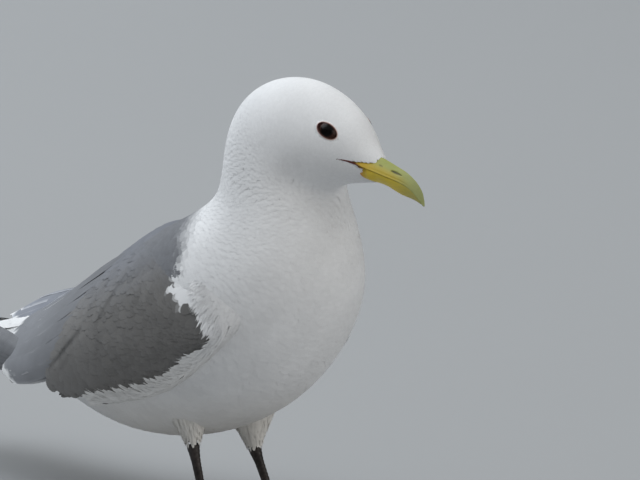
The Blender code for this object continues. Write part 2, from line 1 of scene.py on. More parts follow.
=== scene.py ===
"""Looks of an adult black-legged kittiwake, standing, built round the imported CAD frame.

Lengths below are millimetres in the drawing frame of the bird (feet's soles at z = 0, +X ahead,
+Y the bird's left); world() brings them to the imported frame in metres.
"""
import bpy
import numpy as np
from math import pi, sin, cos, radians, degrees, sqrt, atan2, exp
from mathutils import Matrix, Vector

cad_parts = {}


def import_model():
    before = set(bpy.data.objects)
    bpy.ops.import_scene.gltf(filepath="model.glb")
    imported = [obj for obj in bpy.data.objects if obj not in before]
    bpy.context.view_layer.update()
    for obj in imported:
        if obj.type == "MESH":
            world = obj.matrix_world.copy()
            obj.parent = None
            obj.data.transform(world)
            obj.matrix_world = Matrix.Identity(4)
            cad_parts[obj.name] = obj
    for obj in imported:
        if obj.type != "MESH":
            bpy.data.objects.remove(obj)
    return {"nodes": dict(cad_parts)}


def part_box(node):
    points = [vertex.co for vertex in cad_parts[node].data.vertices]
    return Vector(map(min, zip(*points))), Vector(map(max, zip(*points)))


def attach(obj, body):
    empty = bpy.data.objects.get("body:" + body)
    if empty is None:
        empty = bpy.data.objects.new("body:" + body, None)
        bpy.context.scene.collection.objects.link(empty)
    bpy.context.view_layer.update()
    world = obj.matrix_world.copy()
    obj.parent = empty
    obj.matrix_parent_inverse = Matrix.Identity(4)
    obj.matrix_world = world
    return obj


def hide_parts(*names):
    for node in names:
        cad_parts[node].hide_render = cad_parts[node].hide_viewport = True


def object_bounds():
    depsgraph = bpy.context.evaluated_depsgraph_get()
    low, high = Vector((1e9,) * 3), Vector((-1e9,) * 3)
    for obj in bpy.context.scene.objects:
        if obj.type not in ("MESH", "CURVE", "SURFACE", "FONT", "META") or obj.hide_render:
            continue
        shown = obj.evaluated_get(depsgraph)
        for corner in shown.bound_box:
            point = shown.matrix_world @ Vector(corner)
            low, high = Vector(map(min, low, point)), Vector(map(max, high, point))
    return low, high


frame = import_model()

cad_lo, cad_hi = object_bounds()
_b0, _b1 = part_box("stand_base")
OFF = np.array([(_b0.x + _b1.x) * 500.0 + 4.0, (_b0.y + _b1.y) * 500.0, _b0.z * 1000.0 + 6.3])
NODES = frame["nodes"]
RNG = np.random.default_rng(20240611)


def world(p):
    return (np.asarray(p, float) + OFF) * 0.001


# =====================================================================================
# Surfaces: the same forms as the solids
# =====================================================================================
HEAD_YAW = radians(9.0)
TWIST_X = 33.0
TWIST_Z = (105.0, 155.0)

# crown or back (x, z), throat or belly (x, z), half width, widest place, squareness
BODY = np.array([
    (91.8, 173.3, 91.0, 162.8, 4.6, .50, 1.0),
    (86.4, 179.2, 86.5, 162.0, 7.3, .50, 1.0),
    (80.0, 188.6, 80.0, 161.4, 11.2, .50, 1.0),
    (67.0, 198.3, 73.5, 160.2, 16.0, .52, 1.0),
    (50.0, 204.0, 67.5, 158.3, 19.8, .52, 1.0),
    (32.5, 203.0, 62.0, 156.0, 22.6, .52, 1.0),
    (17.0, 194.9, 61.0, 152.0, 24.3, .52, 1.0),
    (8.9, 180.4, 63.5, 146.0, 26.0, .52, 1.0),
    (7.8, 165.0, 67.0, 137.5, 28.0, .52, 1.0),
    (7.0, 153.0, 69.5, 124.5, 32.0, .52, 1.0),
    (-2.0, 145.0, 68.5, 108.0, 38.0, .52, 1.0),
    (-14.0, 138.5, 61.0, 90.0, 42.5, .52, 1.0),
    (-28.0, 132.2, 47.5, 71.0, 45.0, .50, 1.0),
    (-43.0, 125.0, 27.0, 54.0, 45.5, .50, 1.0),
    (-60.0, 115.6, 0.0, 41.0, 43.5, .50, 1.0),
    (-79.0, 104.2, -32.0, 33.0, 38.5, .50, 1.0),
    (-99.0, 92.6, -66.0, 31.5, 30.5, .50, 1.0),
    (-118.0, 82.8, -96.0, 37.0, 22.5, .50, 1.0),
    (-134.0, 76.2, -121.0, 44.5, 17.0, .50, 1.0),
    (-151.0, 71.5, -143.0, 50.5, 14.5, .50, 1.0),
    (-170.0, 66.5, -165.0, 53.5, 14.0, .50, 0.95),
    (-192.0, 60.5, -189.0, 53.5, 15.5, .50, 0.90),
    (-216.0, 55.5, -214.5, 51.3, 17.5, .50, 0.85),
    (-238.0, 51.8, -237.5, 49.2, 19.0, .50, 0.80),
    (-253.0, 49.4, -253.0, 47.6, 20.0, .50, 0.80),
], float)
NB = len(BODY) - 1


def st(k):
    """Loft parameter of station k."""
    return k / NB


def cubic(table, s):
    n = len(table)
    rows = np.vstack([2 * table[0] - table[1], table, 2 * table[-1] - table[-2]])
    t = np.clip(np.asarray(s, float), 0, 1) * (n - 1)
    i = np.minimum(t.astype(int), n - 2)
    f = t - i
    w = [(1 - f) ** 3 / 6, (3 * f ** 3 - 6 * f ** 2 + 4) / 6,
         (-3 * f ** 3 + 3 * f ** 2 + 3 * f + 1) / 6, f ** 3 / 6]
    return sum(w[k][..., None] * rows[i + k] for k in range(4))


def turn_head(pt):
    f = np.clip((pt[..., 2] - TWIST_Z[0]) / (TWIST_Z[1] - TWIST_Z[0]), 0, 1)
    a = HEAD_YAW * f * f * (3 - 2 * f)
    dx, y = pt[..., 0] - TWIST_X, pt[..., 1]
    return np.stack([TWIST_X + dx * np.cos(a) - y * np.sin(a),
                     dx * np.sin(a) + y * np.cos(a), pt[..., 2]], -1)


def unturn_head(pt):
    f = np.clip((pt[..., 2] - TWIST_Z[0]) / (TWIST_Z[1] - TWIST_Z[0]), 0, 1)
    a = -HEAD_YAW * f * f * (3 - 2 * f)
    dx, y = pt[..., 0] - TWIST_X, pt[..., 1]
    return np.stack([TWIST_X + dx * np.cos(a) - y * np.sin(a),
                     dx * np.sin(a) + y * np.cos(a), pt[..., 2]], -1)


def body_point(s, th):
    s, th = np.broadcast_arrays(np.asarray(s, float), np.asarray(th, float))
    c = cubic(BODY, s)
    t = 0.5 - 0.5 * np.cos(th)
    t = t + (c[..., 5] - 0.5) * 4 * t * (1 - t)
    x = c[..., 0] + (c[..., 2] - c[..., 0]) * t
    z = c[..., 1] + (c[..., 3] - c[..., 1]) * t
    sn = np.sin(th)
    y = c[..., 4] * np.sign(sn) * np.abs(sn) ** c[..., 6]
    end = np.clip((-x - 215.0) / 38.0, 0, 1) ** 2
    x = x + 5.0 * end * (1 - np.abs(y) / 20.0)
    return turn_head(np.stack([x, y, z], -1))


WING_RIGHT = np.array([
    [(16, -25, 134), (25, -37, 124), (31, -44, 109), (31, -46, 93), (25, -44, 80)],
    [(-6, -19, 138), (0, -36, 129), (4, -48, 109), (4, -51, 88), (0, -47, 69)],
    [(-34, -13, 131), (-28, -33, 122), (-24, -49, 103), (-24, -53, 80), (-26, -48, 61)],
    [(-62, -10, 117), (-56, -28, 108), (-52, -46, 92), (-52, -51, 72), (-54, -47, 54)],
    [(-90, -10, 99), (-86, -23, 93), (-82, -39, 80), (-82, -45, 65), (-84, -42, 50)],
    [(-118, -10, 82), (-115, -18, 78), (-111, -30, 69), (-110, -37, 59), (-110, -36, 49)],
    [(-146, -11, 69), (-144, -15, 66), (-141, -22, 61), (-138, -28, 55), (-136, -29, 49)],
], float)
WING_LEFT = WING_RIGHT * np.array([1, -1, 1])
for _row, _lift in ((3, 1.5), (4, 5.0), (5, 10.0), (6, 16.0)):
    WING_LEFT[_row, :, 2] += _lift * np.array([1, .95, .8, .65, .5])


def cubic_net(net, p, q):
    p, q = np.broadcast_arrays(np.asarray(p, float), np.asarray(q, float))
    def grow(a):
        return np.concatenate([2 * a[:1] - a[1:2], a, 2 * a[-1:] - a[-2:-1]], 0)
    pts = np.swapaxes(grow(np.swapaxes(grow(net), 0, 1)), 0, 1)
    def weights(t, n):
        t = np.clip(t, 0, 1) * (n - 1)
        i = np.minimum(t.astype(int), n - 2)
        f = t - i
        return i, [(1 - f) ** 3 / 6, (3 * f ** 3 - 6 * f ** 2 + 4) / 6,
                   (-3 * f ** 3 + 3 * f ** 2 + 3 * f + 1) / 6, f ** 3 / 6]
    i, wi = weights(p, net.shape[0])
    j, wj = weights(q, net.shape[1])
    return sum((wi[a] * wj[b])[..., None] * pts[i + a, j + b] for a in range(4) for b in range(4))


class Surface:
    """A parametric surface with outward normals and straight continuation past its edges."""

    def __init__(self, fn, outward, wrap_v=False, eps=2e-3, v_min=0.0):
        self.fn, self.outward, self.wrap_v, self.eps, self.v_min = fn, outward, wrap_v, eps, v_min

    def _clamp(self, u, v):
        e = self.eps
        uc = np.clip(u, e, 1 - e)
        vc = v if self.wrap_v else np.clip(v, self.v_min + e, 1 - e)
        return uc, vc

    def frame(self, u, v):
        """Point, d/du, d/dv, unit outward normal."""
        u, v = np.broadcast_arrays(np.asarray(u, float), np.asarray(v, float))
        uc, vc = self._clamp(u, v)
        e = self.eps
        p = self.fn(uc, vc)
        pu = (self.fn(uc + e, vc) - self.fn(uc - e, vc)) / (2 * e)
        pv = (self.fn(uc, vc + e) - self.fn(uc, vc - e)) / (2 * e)
        n = np.cross(pu, pv)
        n /= np.linalg.norm(n, axis=-1, keepdims=True) + 1e-12
        n = n * self.outward
        p = p + (u - uc)[..., None] * pu + (v - vc)[..., None] * pv
        return p, pu, pv, n


def _outward_sign(fn, u, v, ref):
    e = 2e-3
    p = fn(np.array(u), np.array(v))
    n = np.cross((fn(np.array(u + e), np.array(v)) - p), (fn(np.array(u), np.array(v + e)) - p))
    return 1.0 if float(np.dot(n, ref)) > 0 else -1.0


body_s = Surface(body_point, _outward_sign(body_point, .55, pi * .5, np.array([0, 1.0, 0])), wrap_v=True)
wing_r_fn = lambda u, v: cubic_net(WING_RIGHT, u, v)
wing_l_fn = lambda u, v: cubic_net(WING_LEFT, u, v)


def rolled(net, side, radius=8.0):
    """The wing's form, carried on past its upper edge (v < 0) by an arc that turns over the back."""
    def fn(u, v):
        u, v = np.broadcast_arrays(np.asarray(u, float), np.asarray(v, float))
        p = cubic_net(net, u, np.maximum(v, 0.0))
        e = 1e-3
        uc = np.clip(u, e, 1 - e)
        t = (cubic_net(net, uc, np.zeros_like(uc)) - cubic_net(net, uc, np.full_like(uc, e))) / e
        speed = np.linalg.norm(t, axis=-1, keepdims=True)
        t = t / speed
        pu = cubic_net(net, uc + e, np.zeros_like(uc)) - cubic_net(net, uc - e, np.zeros_like(uc))
        n = np.cross(pu, t)
        n = n / np.linalg.norm(n, axis=-1, keepdims=True)
        n = n * np.where(n[..., 1:2] * side > 0, 1.0, -1.0)
        arc = np.maximum(-v, 0.0)[..., None] * speed
        a = np.minimum(arc / radius, 1.5)
        over = arc - a * radius
        return p + t * radius * np.sin(a) - n * radius * (1 - np.cos(a)) + over * (t * np.cos(a) - n * np.sin(a))
    return fn


wing_r = Surface(rolled(WING_RIGHT, -1), _outward_sign(wing_r_fn, .5, .5, np.array([0, -1.0, .2])), v_min=-0.45)
wing_l = Surface(rolled(WING_LEFT, 1), _outward_sign(wing_l_fn, .5, .5, np.array([0, 1.0, .2])), v_min=-0.45)


# =====================================================================================
# Small tools
# =====================================================================================
def smooth(a, b, x):
    t = np.clip((np.asarray(x, float) - a) / (b - a), 0, 1)
    return t * t * (3 - 2 * t)


def table(pairs, x):
    xs, ys = zip(*pairs)
    return np.interp(x, xs, ys)


def lattice(n, seed=0.5):
    """n well spread points of the unit square (plastic-number sequence)."""
    k = np.arange(n)
    return (seed + k * 0.7548776662466927) % 1.0, (seed * .7 + k * 0.5698402909980532) % 1.0


def wave_noise(p, scale, seed):
    """Cheap smooth noise in about -1..1 from a sum of plane waves, p in millimetres."""
    r = np.random.default_rng(seed)
    out = np.zeros(p.shape[:-1])
    amp = 0
    for k in range(7):
        d = r.normal(size=3)
        d /= np.linalg.norm(d)
        f = (2 * pi / scale) * r.uniform(.6, 1.9)
        a = r.uniform(.5, 1)
        out += a * np.sin(p @ d * f + r.uniform(0, 2 * pi))
        amp += a * a
    return out / sqrt(amp)


def blur_grid(g, n):
    for _ in range(n):
        g[1:-1] = (g[:-2] + g[1:-1] * 2 + g[2:]) / 4
    return g


# ---- colours (linear)
C_WHITE = np.array([0.800, 0.805, 0.815])
# painted warm bounce: a warmer white laid on the low parts of the body, the thighs and the low flank feathers, standing
# in for warm light bounced up from below
C_WARM_BOUNCE_WHITE = np.array([0.790, 0.770, 0.735])
C_GREY = np.array([0.140, 0.146, 0.160])
C_GREY_EDGE = np.array([0.235, 0.243, 0.262])
C_BLACK = np.array([0.016, 0.016, 0.018])


def mesh_from(name, verts, tris=None, quads=None, col=None, normals=None, uv=None, vane=None, mats=(), smooth_shade=True, mat_index=None):
    """Builds a mesh quickly from arrays. verts in drawing millimetres. uv and vane are per vertex."""
    me = bpy.data.meshes.new(name)
    v = world(verts).astype(np.float32)
    parts, sizes = [], []
    if quads is not None and len(quads):
        parts.append(np.asarray(quads).reshape(-1)); sizes.append(np.full(len(quads), 4))
    if tris is not None and len(tris):
        parts.append(np.asarray(tris).reshape(-1)); sizes.append(np.full(len(tris), 3))
    loops = np.concatenate(parts).astype(np.int32)
    sz = np.concatenate(sizes).astype(np.int32)
    starts = np.concatenate([[0], np.cumsum(sz)[:-1]]).astype(np.int32)
    me.vertices.add(len(v)); me.vertices.foreach_set("co", v.ravel())
    me.loops.add(len(loops)); me.loops.foreach_set("vertex_index", loops)
    me.polygons.add(len(sz)); me.polygons.foreach_set("loop_start", starts)
    me.polygons.foreach_set("use_smooth", np.full(len(sz), smooth_shade))
    if mat_index is not None:
        me.polygons.foreach_set("material_index", np.asarray(mat_index, np.int32))
    for m in mats:
        me.materials.append(m)
    me.update(calc_edges=True)
    if col is not None:
        a = me.attributes.new("Tint", "FLOAT_COLOR", "POINT")
        c = np.ones((len(v), 4), np.float32); c[:, :3] = np.clip(col, 0, 1)
        a.data.foreach_set("color", c.ravel())
    if uv is not None:
        l = me.uv_layers.new(name="OFBake")
        l.data.foreach_set("uv", np.asarray(uv, np.float32)[loops].ravel())
    if vane is not None:
        l = me.uv_layers.new(name="Vane")
        l.data.foreach_set("uv", np.asarray(vane, np.float32)[loops].ravel())
    if normals is not None:
        nn = np.asarray(normals, np.float32)
        nn /= np.linalg.norm(nn, axis=1, keepdims=True) + 1e-12
        me.normals_split_custom_set_from_vertices(nn.tolist())
    ob = bpy.data.objects.new(name, me)
    bpy.context.scene.collection.objects.link(ob)
    return ob


def piece(ob, slot, *replaced):
    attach(ob, "root")
    if replaced:
        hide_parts(*replaced)
    return ob


# =====================================================================================
# Camera, floor and light
# =====================================================================================
PSI, ELEV, DIST, PER_PX = radians(52.0), radians(10.0), 2600.0, 0.44
TARGET = np.array([0.0, 0.0, 110.0])
BACK = np.array([sin(PSI) * cos(ELEV), -cos(PSI) * cos(ELEV), sin(ELEV)])
RIGHT = np.array([cos(PSI), sin(PSI), 0.0])
UP = np.cross(BACK, RIGHT)


def aimed(name, data, place, back, up):
    """An object at a drawing place in millimetres, looking along -back."""
    from mathutils import Matrix
    b = Vector(back).normalized()
    r = Vector(up).cross(b).normalized()
    u = b.cross(r)
    ob = bpy.data.objects.new(name, data)
    m = Matrix((r, u, b)).transposed().to_4x4()
    m.translation = Vector(world(place).tolist())
    ob.matrix_world = m
    bpy.context.scene.collection.objects.link(ob)
    return ob


cam = bpy.data.cameras.new("camera")
cam.sensor_width = 36.0
cam.sensor_fit = 'HORIZONTAL'
cam.lens = 36.0 * DIST / (640 * PER_PX)
cam.shift_x = (320.0 - 234.0) / 640.0
cam.shift_y = (277.0 - 240.0) / 640.0
cam.clip_start, cam.clip_end = 0.05, 60.0
bpy.context.scene.camera = aimed("camera", cam, TARGET + BACK * DIST, BACK, UP)

FLOOR_Z = float(cad_lo.z)
bpy.context.scene.view_settings.view_transform = 'Standard'


def plain(name, colour, rough=0.9, scale=40.0, depth=0.04):
    m = bpy.data.materials.new(name)
    m.use_nodes = True
    nt = m.node_tree
    b = nt.nodes["Principled BSDF"]
    b.inputs["Roughness"].default_value = rough
    tc = nt.nodes.new("ShaderNodeTexCoord")
    n = nt.nodes.new("ShaderNodeTexNoise")
    n.inputs["Scale"].default_value = scale
    n.inputs["Detail"].default_value = 4
    nt.links.new(tc.outputs["Object"], n.inputs["Vector"])
    r = nt.nodes.new("ShaderNodeMapRange")
    r.inputs["To Min"].default_value = 1 - depth
    r.inputs["To Max"].default_value = 1 + depth
    nt.links.new(n.outputs["Fac"], r.inputs["Value"])
    mul = nt.nodes.new("ShaderNodeVectorMath")
    mul.operation = 'SCALE'
    mul.inputs[0].default_value = colour
    nt.links.new(r.outputs["Result"], mul.inputs["Scale"])
    nt.links.new(mul.outputs["Vector"], b.inputs["Base Color"])
    return m


# a floor that curves up far behind, on every side
def make_floor():
    rings, n = [], 96
    rad = [0.0, 0.3, 0.8, 1.6, 3.0, 5.0]
    prof = [(r, 0.0) for r in rad[1:]] + [(5.0 + 2.5 * sin(a), 2.5 * (1 - cos(a))) for a in np.linspace(0.15, pi / 2, 10)] + [(7.5, 6.0)]
    verts = [(0, 0, FLOOR_Z)]
    for r, h in prof:
        for k in range(n):
            a = 2 * pi * k / n
            verts.append((r * cos(a), r * sin(a), FLOOR_Z + h))
    faces = [(0, 1 + k, 1 + (k + 1) % n) for k in range(n)]
    for i in range(len(prof) - 1):
        for k in range(n):
            a, b = 1 + i * n + k, 1 + i * n + (k + 1) % n
            faces.append((a, a + n, b + n, b))
    me = bpy.data.meshes.new("floor")
    me.from_pydata(verts, [], faces)
    for p in me.polygons:
        p.use_smooth = True
    me.materials.append(plain("floor_paper", FLOOR_COLOUR, 0.95, 3.0, 0.01))
    ob = bpy.data.objects.new("floor", me)
    bpy.context.scene.collection.objects.link(ob)


FLOOR_COLOUR = (0.330, 0.338, 0.345)
make_floor()

wd = bpy.data.worlds.new("studio")
bpy.context.scene.world = wd
wd.use_nodes = True
wd.node_tree.nodes["Background"].inputs["Color"].default_value = (0.97, 0.975, 0.97, 1)
wd.node_tree.nodes["Background"].inputs["Strength"].default_value = 0.68


def area(name, place, size, power, colour, aim=(0, 0, 110)):
    d = bpy.data.lights.new(name, 'AREA')
    d.shape = 'RECTANGLE'
    d.size, d.size_y = size
    d.energy = power
    d.color = colour
    back = np.asarray(place, float) - np.asarray(aim, float)
    up = (0, 0, 1) if abs(back[2]) < 0.98 * np.linalg.norm(back) else (0, 1, 0)
    return aimed(name, d, place, back, up)


def from_view(right, up, back):
    """A place given along the camera's right, up and back directions from the bird's middle, mm."""
    return TARGET + RIGHT * right + UP * up + BACK * back


area("key", from_view(-2600, 4200, 300), (3.8, 3.2), 150.0, (0.90, 0.95, 1.0))
area("rim", from_view(-2600, 3200, -3200), (3.0, 2.4), 80.0, (0.86, 0.93, 1.0))
area("fill", from_view(3600, 900, 3600), (4.0, 3.0), 80.0, (1.0, 0.97, 0.92))


# =====================================================================================
# Materials
# =====================================================================================
def links(nt, *pairs):
    for a, b in pairs:
        nt.links.new(a, b)


def plumage(name, rough=0.78, sheen=0.12, bump=0.10, use_vane=True, barb=26.0, streak=0.05):
    """Colour from the Tint of each vane, fine barbs across it as bump and a trace of tone."""
    m = bpy.data.materials.new(name)
    m.use_nodes = True
    nt = m.node_tree
    N = nt.nodes
    b = N["Principled BSDF"]
    b.inputs["Roughness"].default_value = rough
    b.inputs["Specular IOR Level"].default_value = 0.25
    b.inputs["Sheen Weight"].default_value = sheen
    b.inputs["Sheen Roughness"].default_value = 0.6
    at = N.new("ShaderNodeAttribute")
    at.attribute_name = "Tint"
    if use_vane:
        uv = N.new("ShaderNodeUVMap")
        uv.uv_map = "Vane"
        wave = N.new("ShaderNodeTexWave")
        wave.wave_type = 'BANDS'
        wave.bands_direction = 'X'
        wave.inputs["Scale"].default_value = barb
        wave.inputs["Distortion"].default_value = 1.6
        wave.inputs["Detail"].default_value = 2.0
        wave.inputs["Detail Scale"].default_value = 1.4
        links(nt, (uv.outputs["UV"], wave.inputs["Vector"]))
        fac = wave.outputs["Fac"]
    else:
        tc = N.new("ShaderNodeTexCoord")
        noise = N.new("ShaderNodeTexNoise")
        noise.inputs["Scale"].default_value = 900.0
        noise.inputs["Detail"].default_value = 3.0
        links(nt, (tc.outputs["Object"], noise.inputs["Vector"]))
        fac = noise.outputs["Fac"]
    mr = N.new("ShaderNodeMapRange")
    mr.inputs["To Min"].default_value = 1 - streak
    mr.inputs["To Max"].default_value = 1 + streak * 0.5
    sc = N.new("ShaderNodeVectorMath")
    sc.operation = 'SCALE'
    bp = N.new("ShaderNodeBump")
    bp.inputs["Strength"].default_value = bump
    bp.inputs["Distance"].default_value = 0.0002
    links(nt, (fac, mr.inputs["Value"]), (at.outputs["Color"], sc.inputs[0]), (mr.outputs["Result"], sc.inputs["Scale"]),
          (sc.outputs["Vector"], b.inputs["Base Color"]), (fac, bp.inputs["Height"]), (bp.outputs["Normal"], b.inputs["Normal"]))
    return m


M_WHITE = plumage("plumage_white", 0.80, 0.10, 0.06)
M_GREY = plumage("plumage_grey", 0.74, 0.10, 0.12, streak=0.07)
M_BLACK = plumage("plumage_black", 0.55, 0.05, 0.15, streak=0.10)
M_SKIN = plumage("down_skin", 0.9, 0.0, 0.15, use_vane=False)


# =====================================================================================
# Vanes: each feather lies on a surface and follows it
# =====================================================================================
def vane_template(nc, rows, tip=1.0):
    """Rows of nc columns and a ragged row of teeth: a along, b across, quads, tris, tooth mask."""
    bs = np.linspace(-1, 1, nc)
    A, B, T, base = [], [], [], []
    for a, w in rows:
        for b in bs:
            A.append(a - 0.06 * abs(b) ** 2 * (a > 0))
            B.append(b * w)
            T.append(0)
            base.append(0.0)
    wl = rows[-1][1]
    for j in range(nc - 1):
        b = 0.5 * (bs[j] + bs[j + 1])
        last_a = rows[-1][0] - 0.06 * b * b
        A.append(last_a + max(0.02, (tip - rows[-1][0]) * (1.0 - 0.45 * b * b)))
        B.append(b * wl * 0.92)
        T.append(1)
        base.append(last_a)
    quads, tris = [], []
    for i in range(len(rows) - 1):
        for j in range(nc - 1):
            quads.append((i * nc + j, (i + 1) * nc + j, (i + 1) * nc + j + 1, i * nc + j + 1))
    last, teeth = (len(rows) - 1) * nc, len(rows) * nc
    for j in range(nc - 1):
        tris.append((last + j, teeth + j, last + j + 1))
    return (np.array(A), np.array(B), np.array(quads), np.array(tris), np.array(T, bool), np.array(base))


T_FINE = vane_template(5, [(0.0, 0.45), (0.38, 0.96), (0.68, 0.98), (0.90, 0.72)])
T_SMALL = vane_template(4, [(0.0, 0.50), (0.50, 0.98), (0.84, 0.80)])
T_STRAND = vane_template(3, [(0.0, 0.7), (0.33, 1.0), (0.66, 0.75), (0.86, 0.45)])
T_BROAD = vane_template(7, [(0.0, 0.40), (0.28, 0.85), (0.55, 1.0), (0.76, 0.98), (0.88, 0.82), (0.95, 0.58)])
T_ROUND = vane_template(7, [(0.0, 0.40), (0.25, 0.85), (0.5, 1.0), (0.74, 1.0), (0.87, 0.88), (0.945, 0.66), (0.98, 0.40)])


PLACE = {}


def tufts(surf, u, v, L, W, ang, lo, hi, seed, tmpl=T_FINE, power=1.3, camber=0.05, kappa=0.3, rag=0.07,
          colour=None, uv_box=None, curl=0.0, sway=0.0):
    """Lays one vane per root. u, v, L, W, ang, lo, hi are arrays; lengths in mm, ang from +u towards +v."""
    n = len(u)
    rng = np.random.default_rng(seed)
    A, B, Q, T, tooth, base_a = tmpl
    L, W, ang, lo, hi = [np.broadcast_to(np.asarray(k, float), (n,)) for k in (L, W, ang, lo, hi)]
    p, pu, pv, nn = surf.frame(u, v)
    d0 = pu / np.linalg.norm(pu, axis=1, keepdims=True)
    w0 = np.cross(nn, d0)
    sg = np.sign(np.sum(w0 * pv, 1, keepdims=True))
    d = d0 * np.cos(ang)[:, None] + w0 * sg * np.sin(ang)[:, None]
    w = np.cross(nn, d)
    a = np.broadcast_to(A, (n, len(A))).copy()
    b = np.broadcast_to(B, (n, len(B))).copy()
    a[:, tooth] = base_a[tooth] + (A - base_a)[tooth] * np.clip(1 + 8.0 * rag * rng.uniform(-1.0, 1.0, (n, tooth.sum())), 0.25, 2.2)
    bend = sway * rng.uniform(-1, 1, n)[:, None]
    x = L[:, None] * a
    y = W[:, None] * 0.5 * b + bend * L[:, None] * a * a
    D = d[:, None] * x[..., None] + w[:, None] * y[..., None]
    g11 = np.sum(pu * pu, 1)[:, None]
    g12 = np.sum(pu * pv, 1)[:, None]
    g22 = np.sum(pv * pv, 1)[:, None]
    b1 = np.sum(D * pu[:, None], 2)
    b2 = np.sum(D * pv[:, None], 2)
    det = g11 * g22 - g12 * g12 + 1e-12
    du, dv = (b1 * g22 - b2 * g12) / det, (g11 * b2 - g12 * b1) / det
    q, _, _, n2 = surf.frame(u[:, None] + du, v[:, None] + dv)
    PLACE["u"], PLACE["v"] = u[:, None] + du, v[:, None] + dv
    h = lo[:, None] + (hi - lo)[:, None] * a ** power - camber * W[:, None] * b * b * a + curl * L[:, None] * a ** 3
    pos = q + n2 * h[..., None]
    sx = (hi - lo)[:, None] * power * np.maximum(a, 0.2) ** (power - 1) / L[:, None]
    sy = -camber * W[:, None] * 2 * b * a / (W[:, None] * 0.5)
    nor = n2 - kappa * (sx[..., None] * d[:, None] + sy[..., None] * w[:, None])
    nor /= np.linalg.norm(nor, axis=2, keepdims=True)
    rnd = rng.uniform(-1, 1, n)
    col = colour(pos, a, b, rnd, u, v) if colour else np.broadcast_to(C_WHITE, pos.shape)
    if uv_box is None:
        uv_box = (u.min(), u.max(), v.min(), v.max())
    ru = 0.004 + 0.992 * (v - uv_box[2]) / (uv_box[3] - uv_box[2] + 1e-9)
    rv = 0.004 + 0.992 * (u - uv_box[0]) / (uv_box[1] - uv_box[0] + 1e-9)
    uv = np.stack([np.clip(ru, .003, .997)[:, None] + 0.0015 * b, np.clip(rv, .003, .997)[:, None] + 0.003 * (a - 0.5)], -1)
    vane = np.stack([(x + 0.9 * np.abs(y)) * 0.05, y * 0.05], -1)
    k = len(A)
    base = (np.arange(n) * k)[:, None, None]
    return dict(v=pos.reshape(-1, 3), n=nor.reshape(-1, 3), c=col.reshape(-1, 3), uv=uv.reshape(-1, 2), vane=vane.reshape(-1, 2),
                q=(base + Q[None]).reshape(-1, 4), t=(base + T[None]).reshape(-1, 3))


def joined(*parts):
    parts = [p for p in parts if p is not None and len(p["v"])]
    out, off = {k: [] for k in ("v", "n", "c", "uv", "vane", "q", "t")}, 0
    for p in parts:
        for k in ("v", "n", "c", "uv", "vane"):
            out[k].append(p[k])
        out["q"].append(p["q"] + off)
        out["t"].append(p["t"] + off)
        off += len(p["v"])
    return {k: np.concatenate(x) for k, x in out.items()}


COAT_TRIS = {}


def coat(name, data, mat, slot):
    ob = mesh_from(name, data["v"], tris=data["t"], quads=data["q"], col=data["c"], normals=data["n"], uv=data["uv"], vane=data["vane"], mats=[mat])
    COAT_TRIS[name] = len(data["q"]) * 2 + len(data["t"])
    return piece(ob, slot)


def scatter(surf, u0, u1, v0, v1, density, seed, nu=200, nv=140):
    """Well spread roots, density(U, V, P, N) per square millimetre."""
    ue, ve = np.linspace(u0, u1, nu + 1), np.linspace(v0, v1, nv + 1)
    U, V = np.meshgrid((ue[1:] + ue[:-1]) / 2, (ve[1:] + ve[:-1]) / 2, indexing='ij')
    p, pu, pv, n = surf.frame(U, V)
    cell = np.linalg.norm(np.cross(pu, pv), axis=-1) * (ue[1] - ue[0]) * (ve[1] - ve[0])
    w = cell * density(U, V, p, n)
    row = w.sum(1)
    total = w.sum()
    N = int(round(total))
    a, b = lattice(N, seed)
    uu = np.interp(a, np.concatenate([[0], np.cumsum(row)]) / total, ue)
    iu = np.clip(((uu - u0) / (u1 - u0) * nu).astype(int), 0, nu - 1)
    cv = np.concatenate([np.zeros((nu, 1)), np.cumsum(w, 1)], 1) / (row[:, None] + 1e-12)
    rows = cv[iu]
    j = np.clip((rows < b[:, None]).sum(1) - 1, 0, nv - 1)
    k = np.arange(N)
    c0, c1 = rows[k, j], rows[k, j + 1]
    vv = ve[j] + np.clip((b - c0) / (c1 - c0 + 1e-12), 0, 1) * (ve[1] - ve[0])
    return uu, vv


# =====================================================================================
# Eye frame, used by lids and by the feathers round the eye
# =====================================================================================
def eye_frame(side):
    E = np.array([72.0, side * 13.35, 184.5])
    n = np.array([0.457, side * 0.815, 0.356])
    n /= np.linalg.norm(n)
    t1 = np.array([10.5, 0.0, -4.6])
    t1 = t1 - n * (t1 @ n)
    t1 /= np.linalg.norm(t1)
    t2 = np.cross(n, t1)
    if t2[2] < 0:
        t2 = -t2
    return E, n, t1, t2


EYE_R, EYE_SINK = 7.0, 6.2
GAPE = np.array([(75.3, 11.4, 172.7), (80.4, 9.8, 172.3), (84.1, 8.6, 170.9), (88.0, 7.7, 169.4)])


def eye_ab(p, side):
    """Coordinates along and across the eye opening of drawing points, and depth from it."""
    E, n, t1, t2 = eye_frame(side)
    q = unturn_head(p) - E
    return q @ t1, q @ t2, q @ n


# =====================================================================================
# Where the wings cover the body, and what is grey
# =====================================================================================
from mathutils.kdtree import KDTree

wu, wv = np.meshgrid(np.linspace(0, 1, 70), np.linspace(0, 1, 40), indexing='ij')
wing_pts = {}
for _side, _fn in ((-1, wing_r_fn), (1, wing_l_fn)):
    wing_pts[_side] = _fn(wu, wv).reshape(-1, 3)
kd = {}
for _side in (-1, 1):
    t = KDTree(len(wing_pts[_side]))
    for i, q in enumerate(wing_pts[_side]):
        t.insert(q, i)
    t.balance()
    kd[_side] = t


def under_wing(p):
    """For body points: the wing (u, v) over them and the distance, or a far distance."""
    out = np.full((len(p), 3), 99.0)
    fu, fv = wu.ravel(), wv.ravel()
    for i, q in enumerate(p):
        side = -1 if q[1] < 0 else 1
        co, j, dist = kd[side].find(q)
        out[i] = fu[j], fv[j], dist
    return out


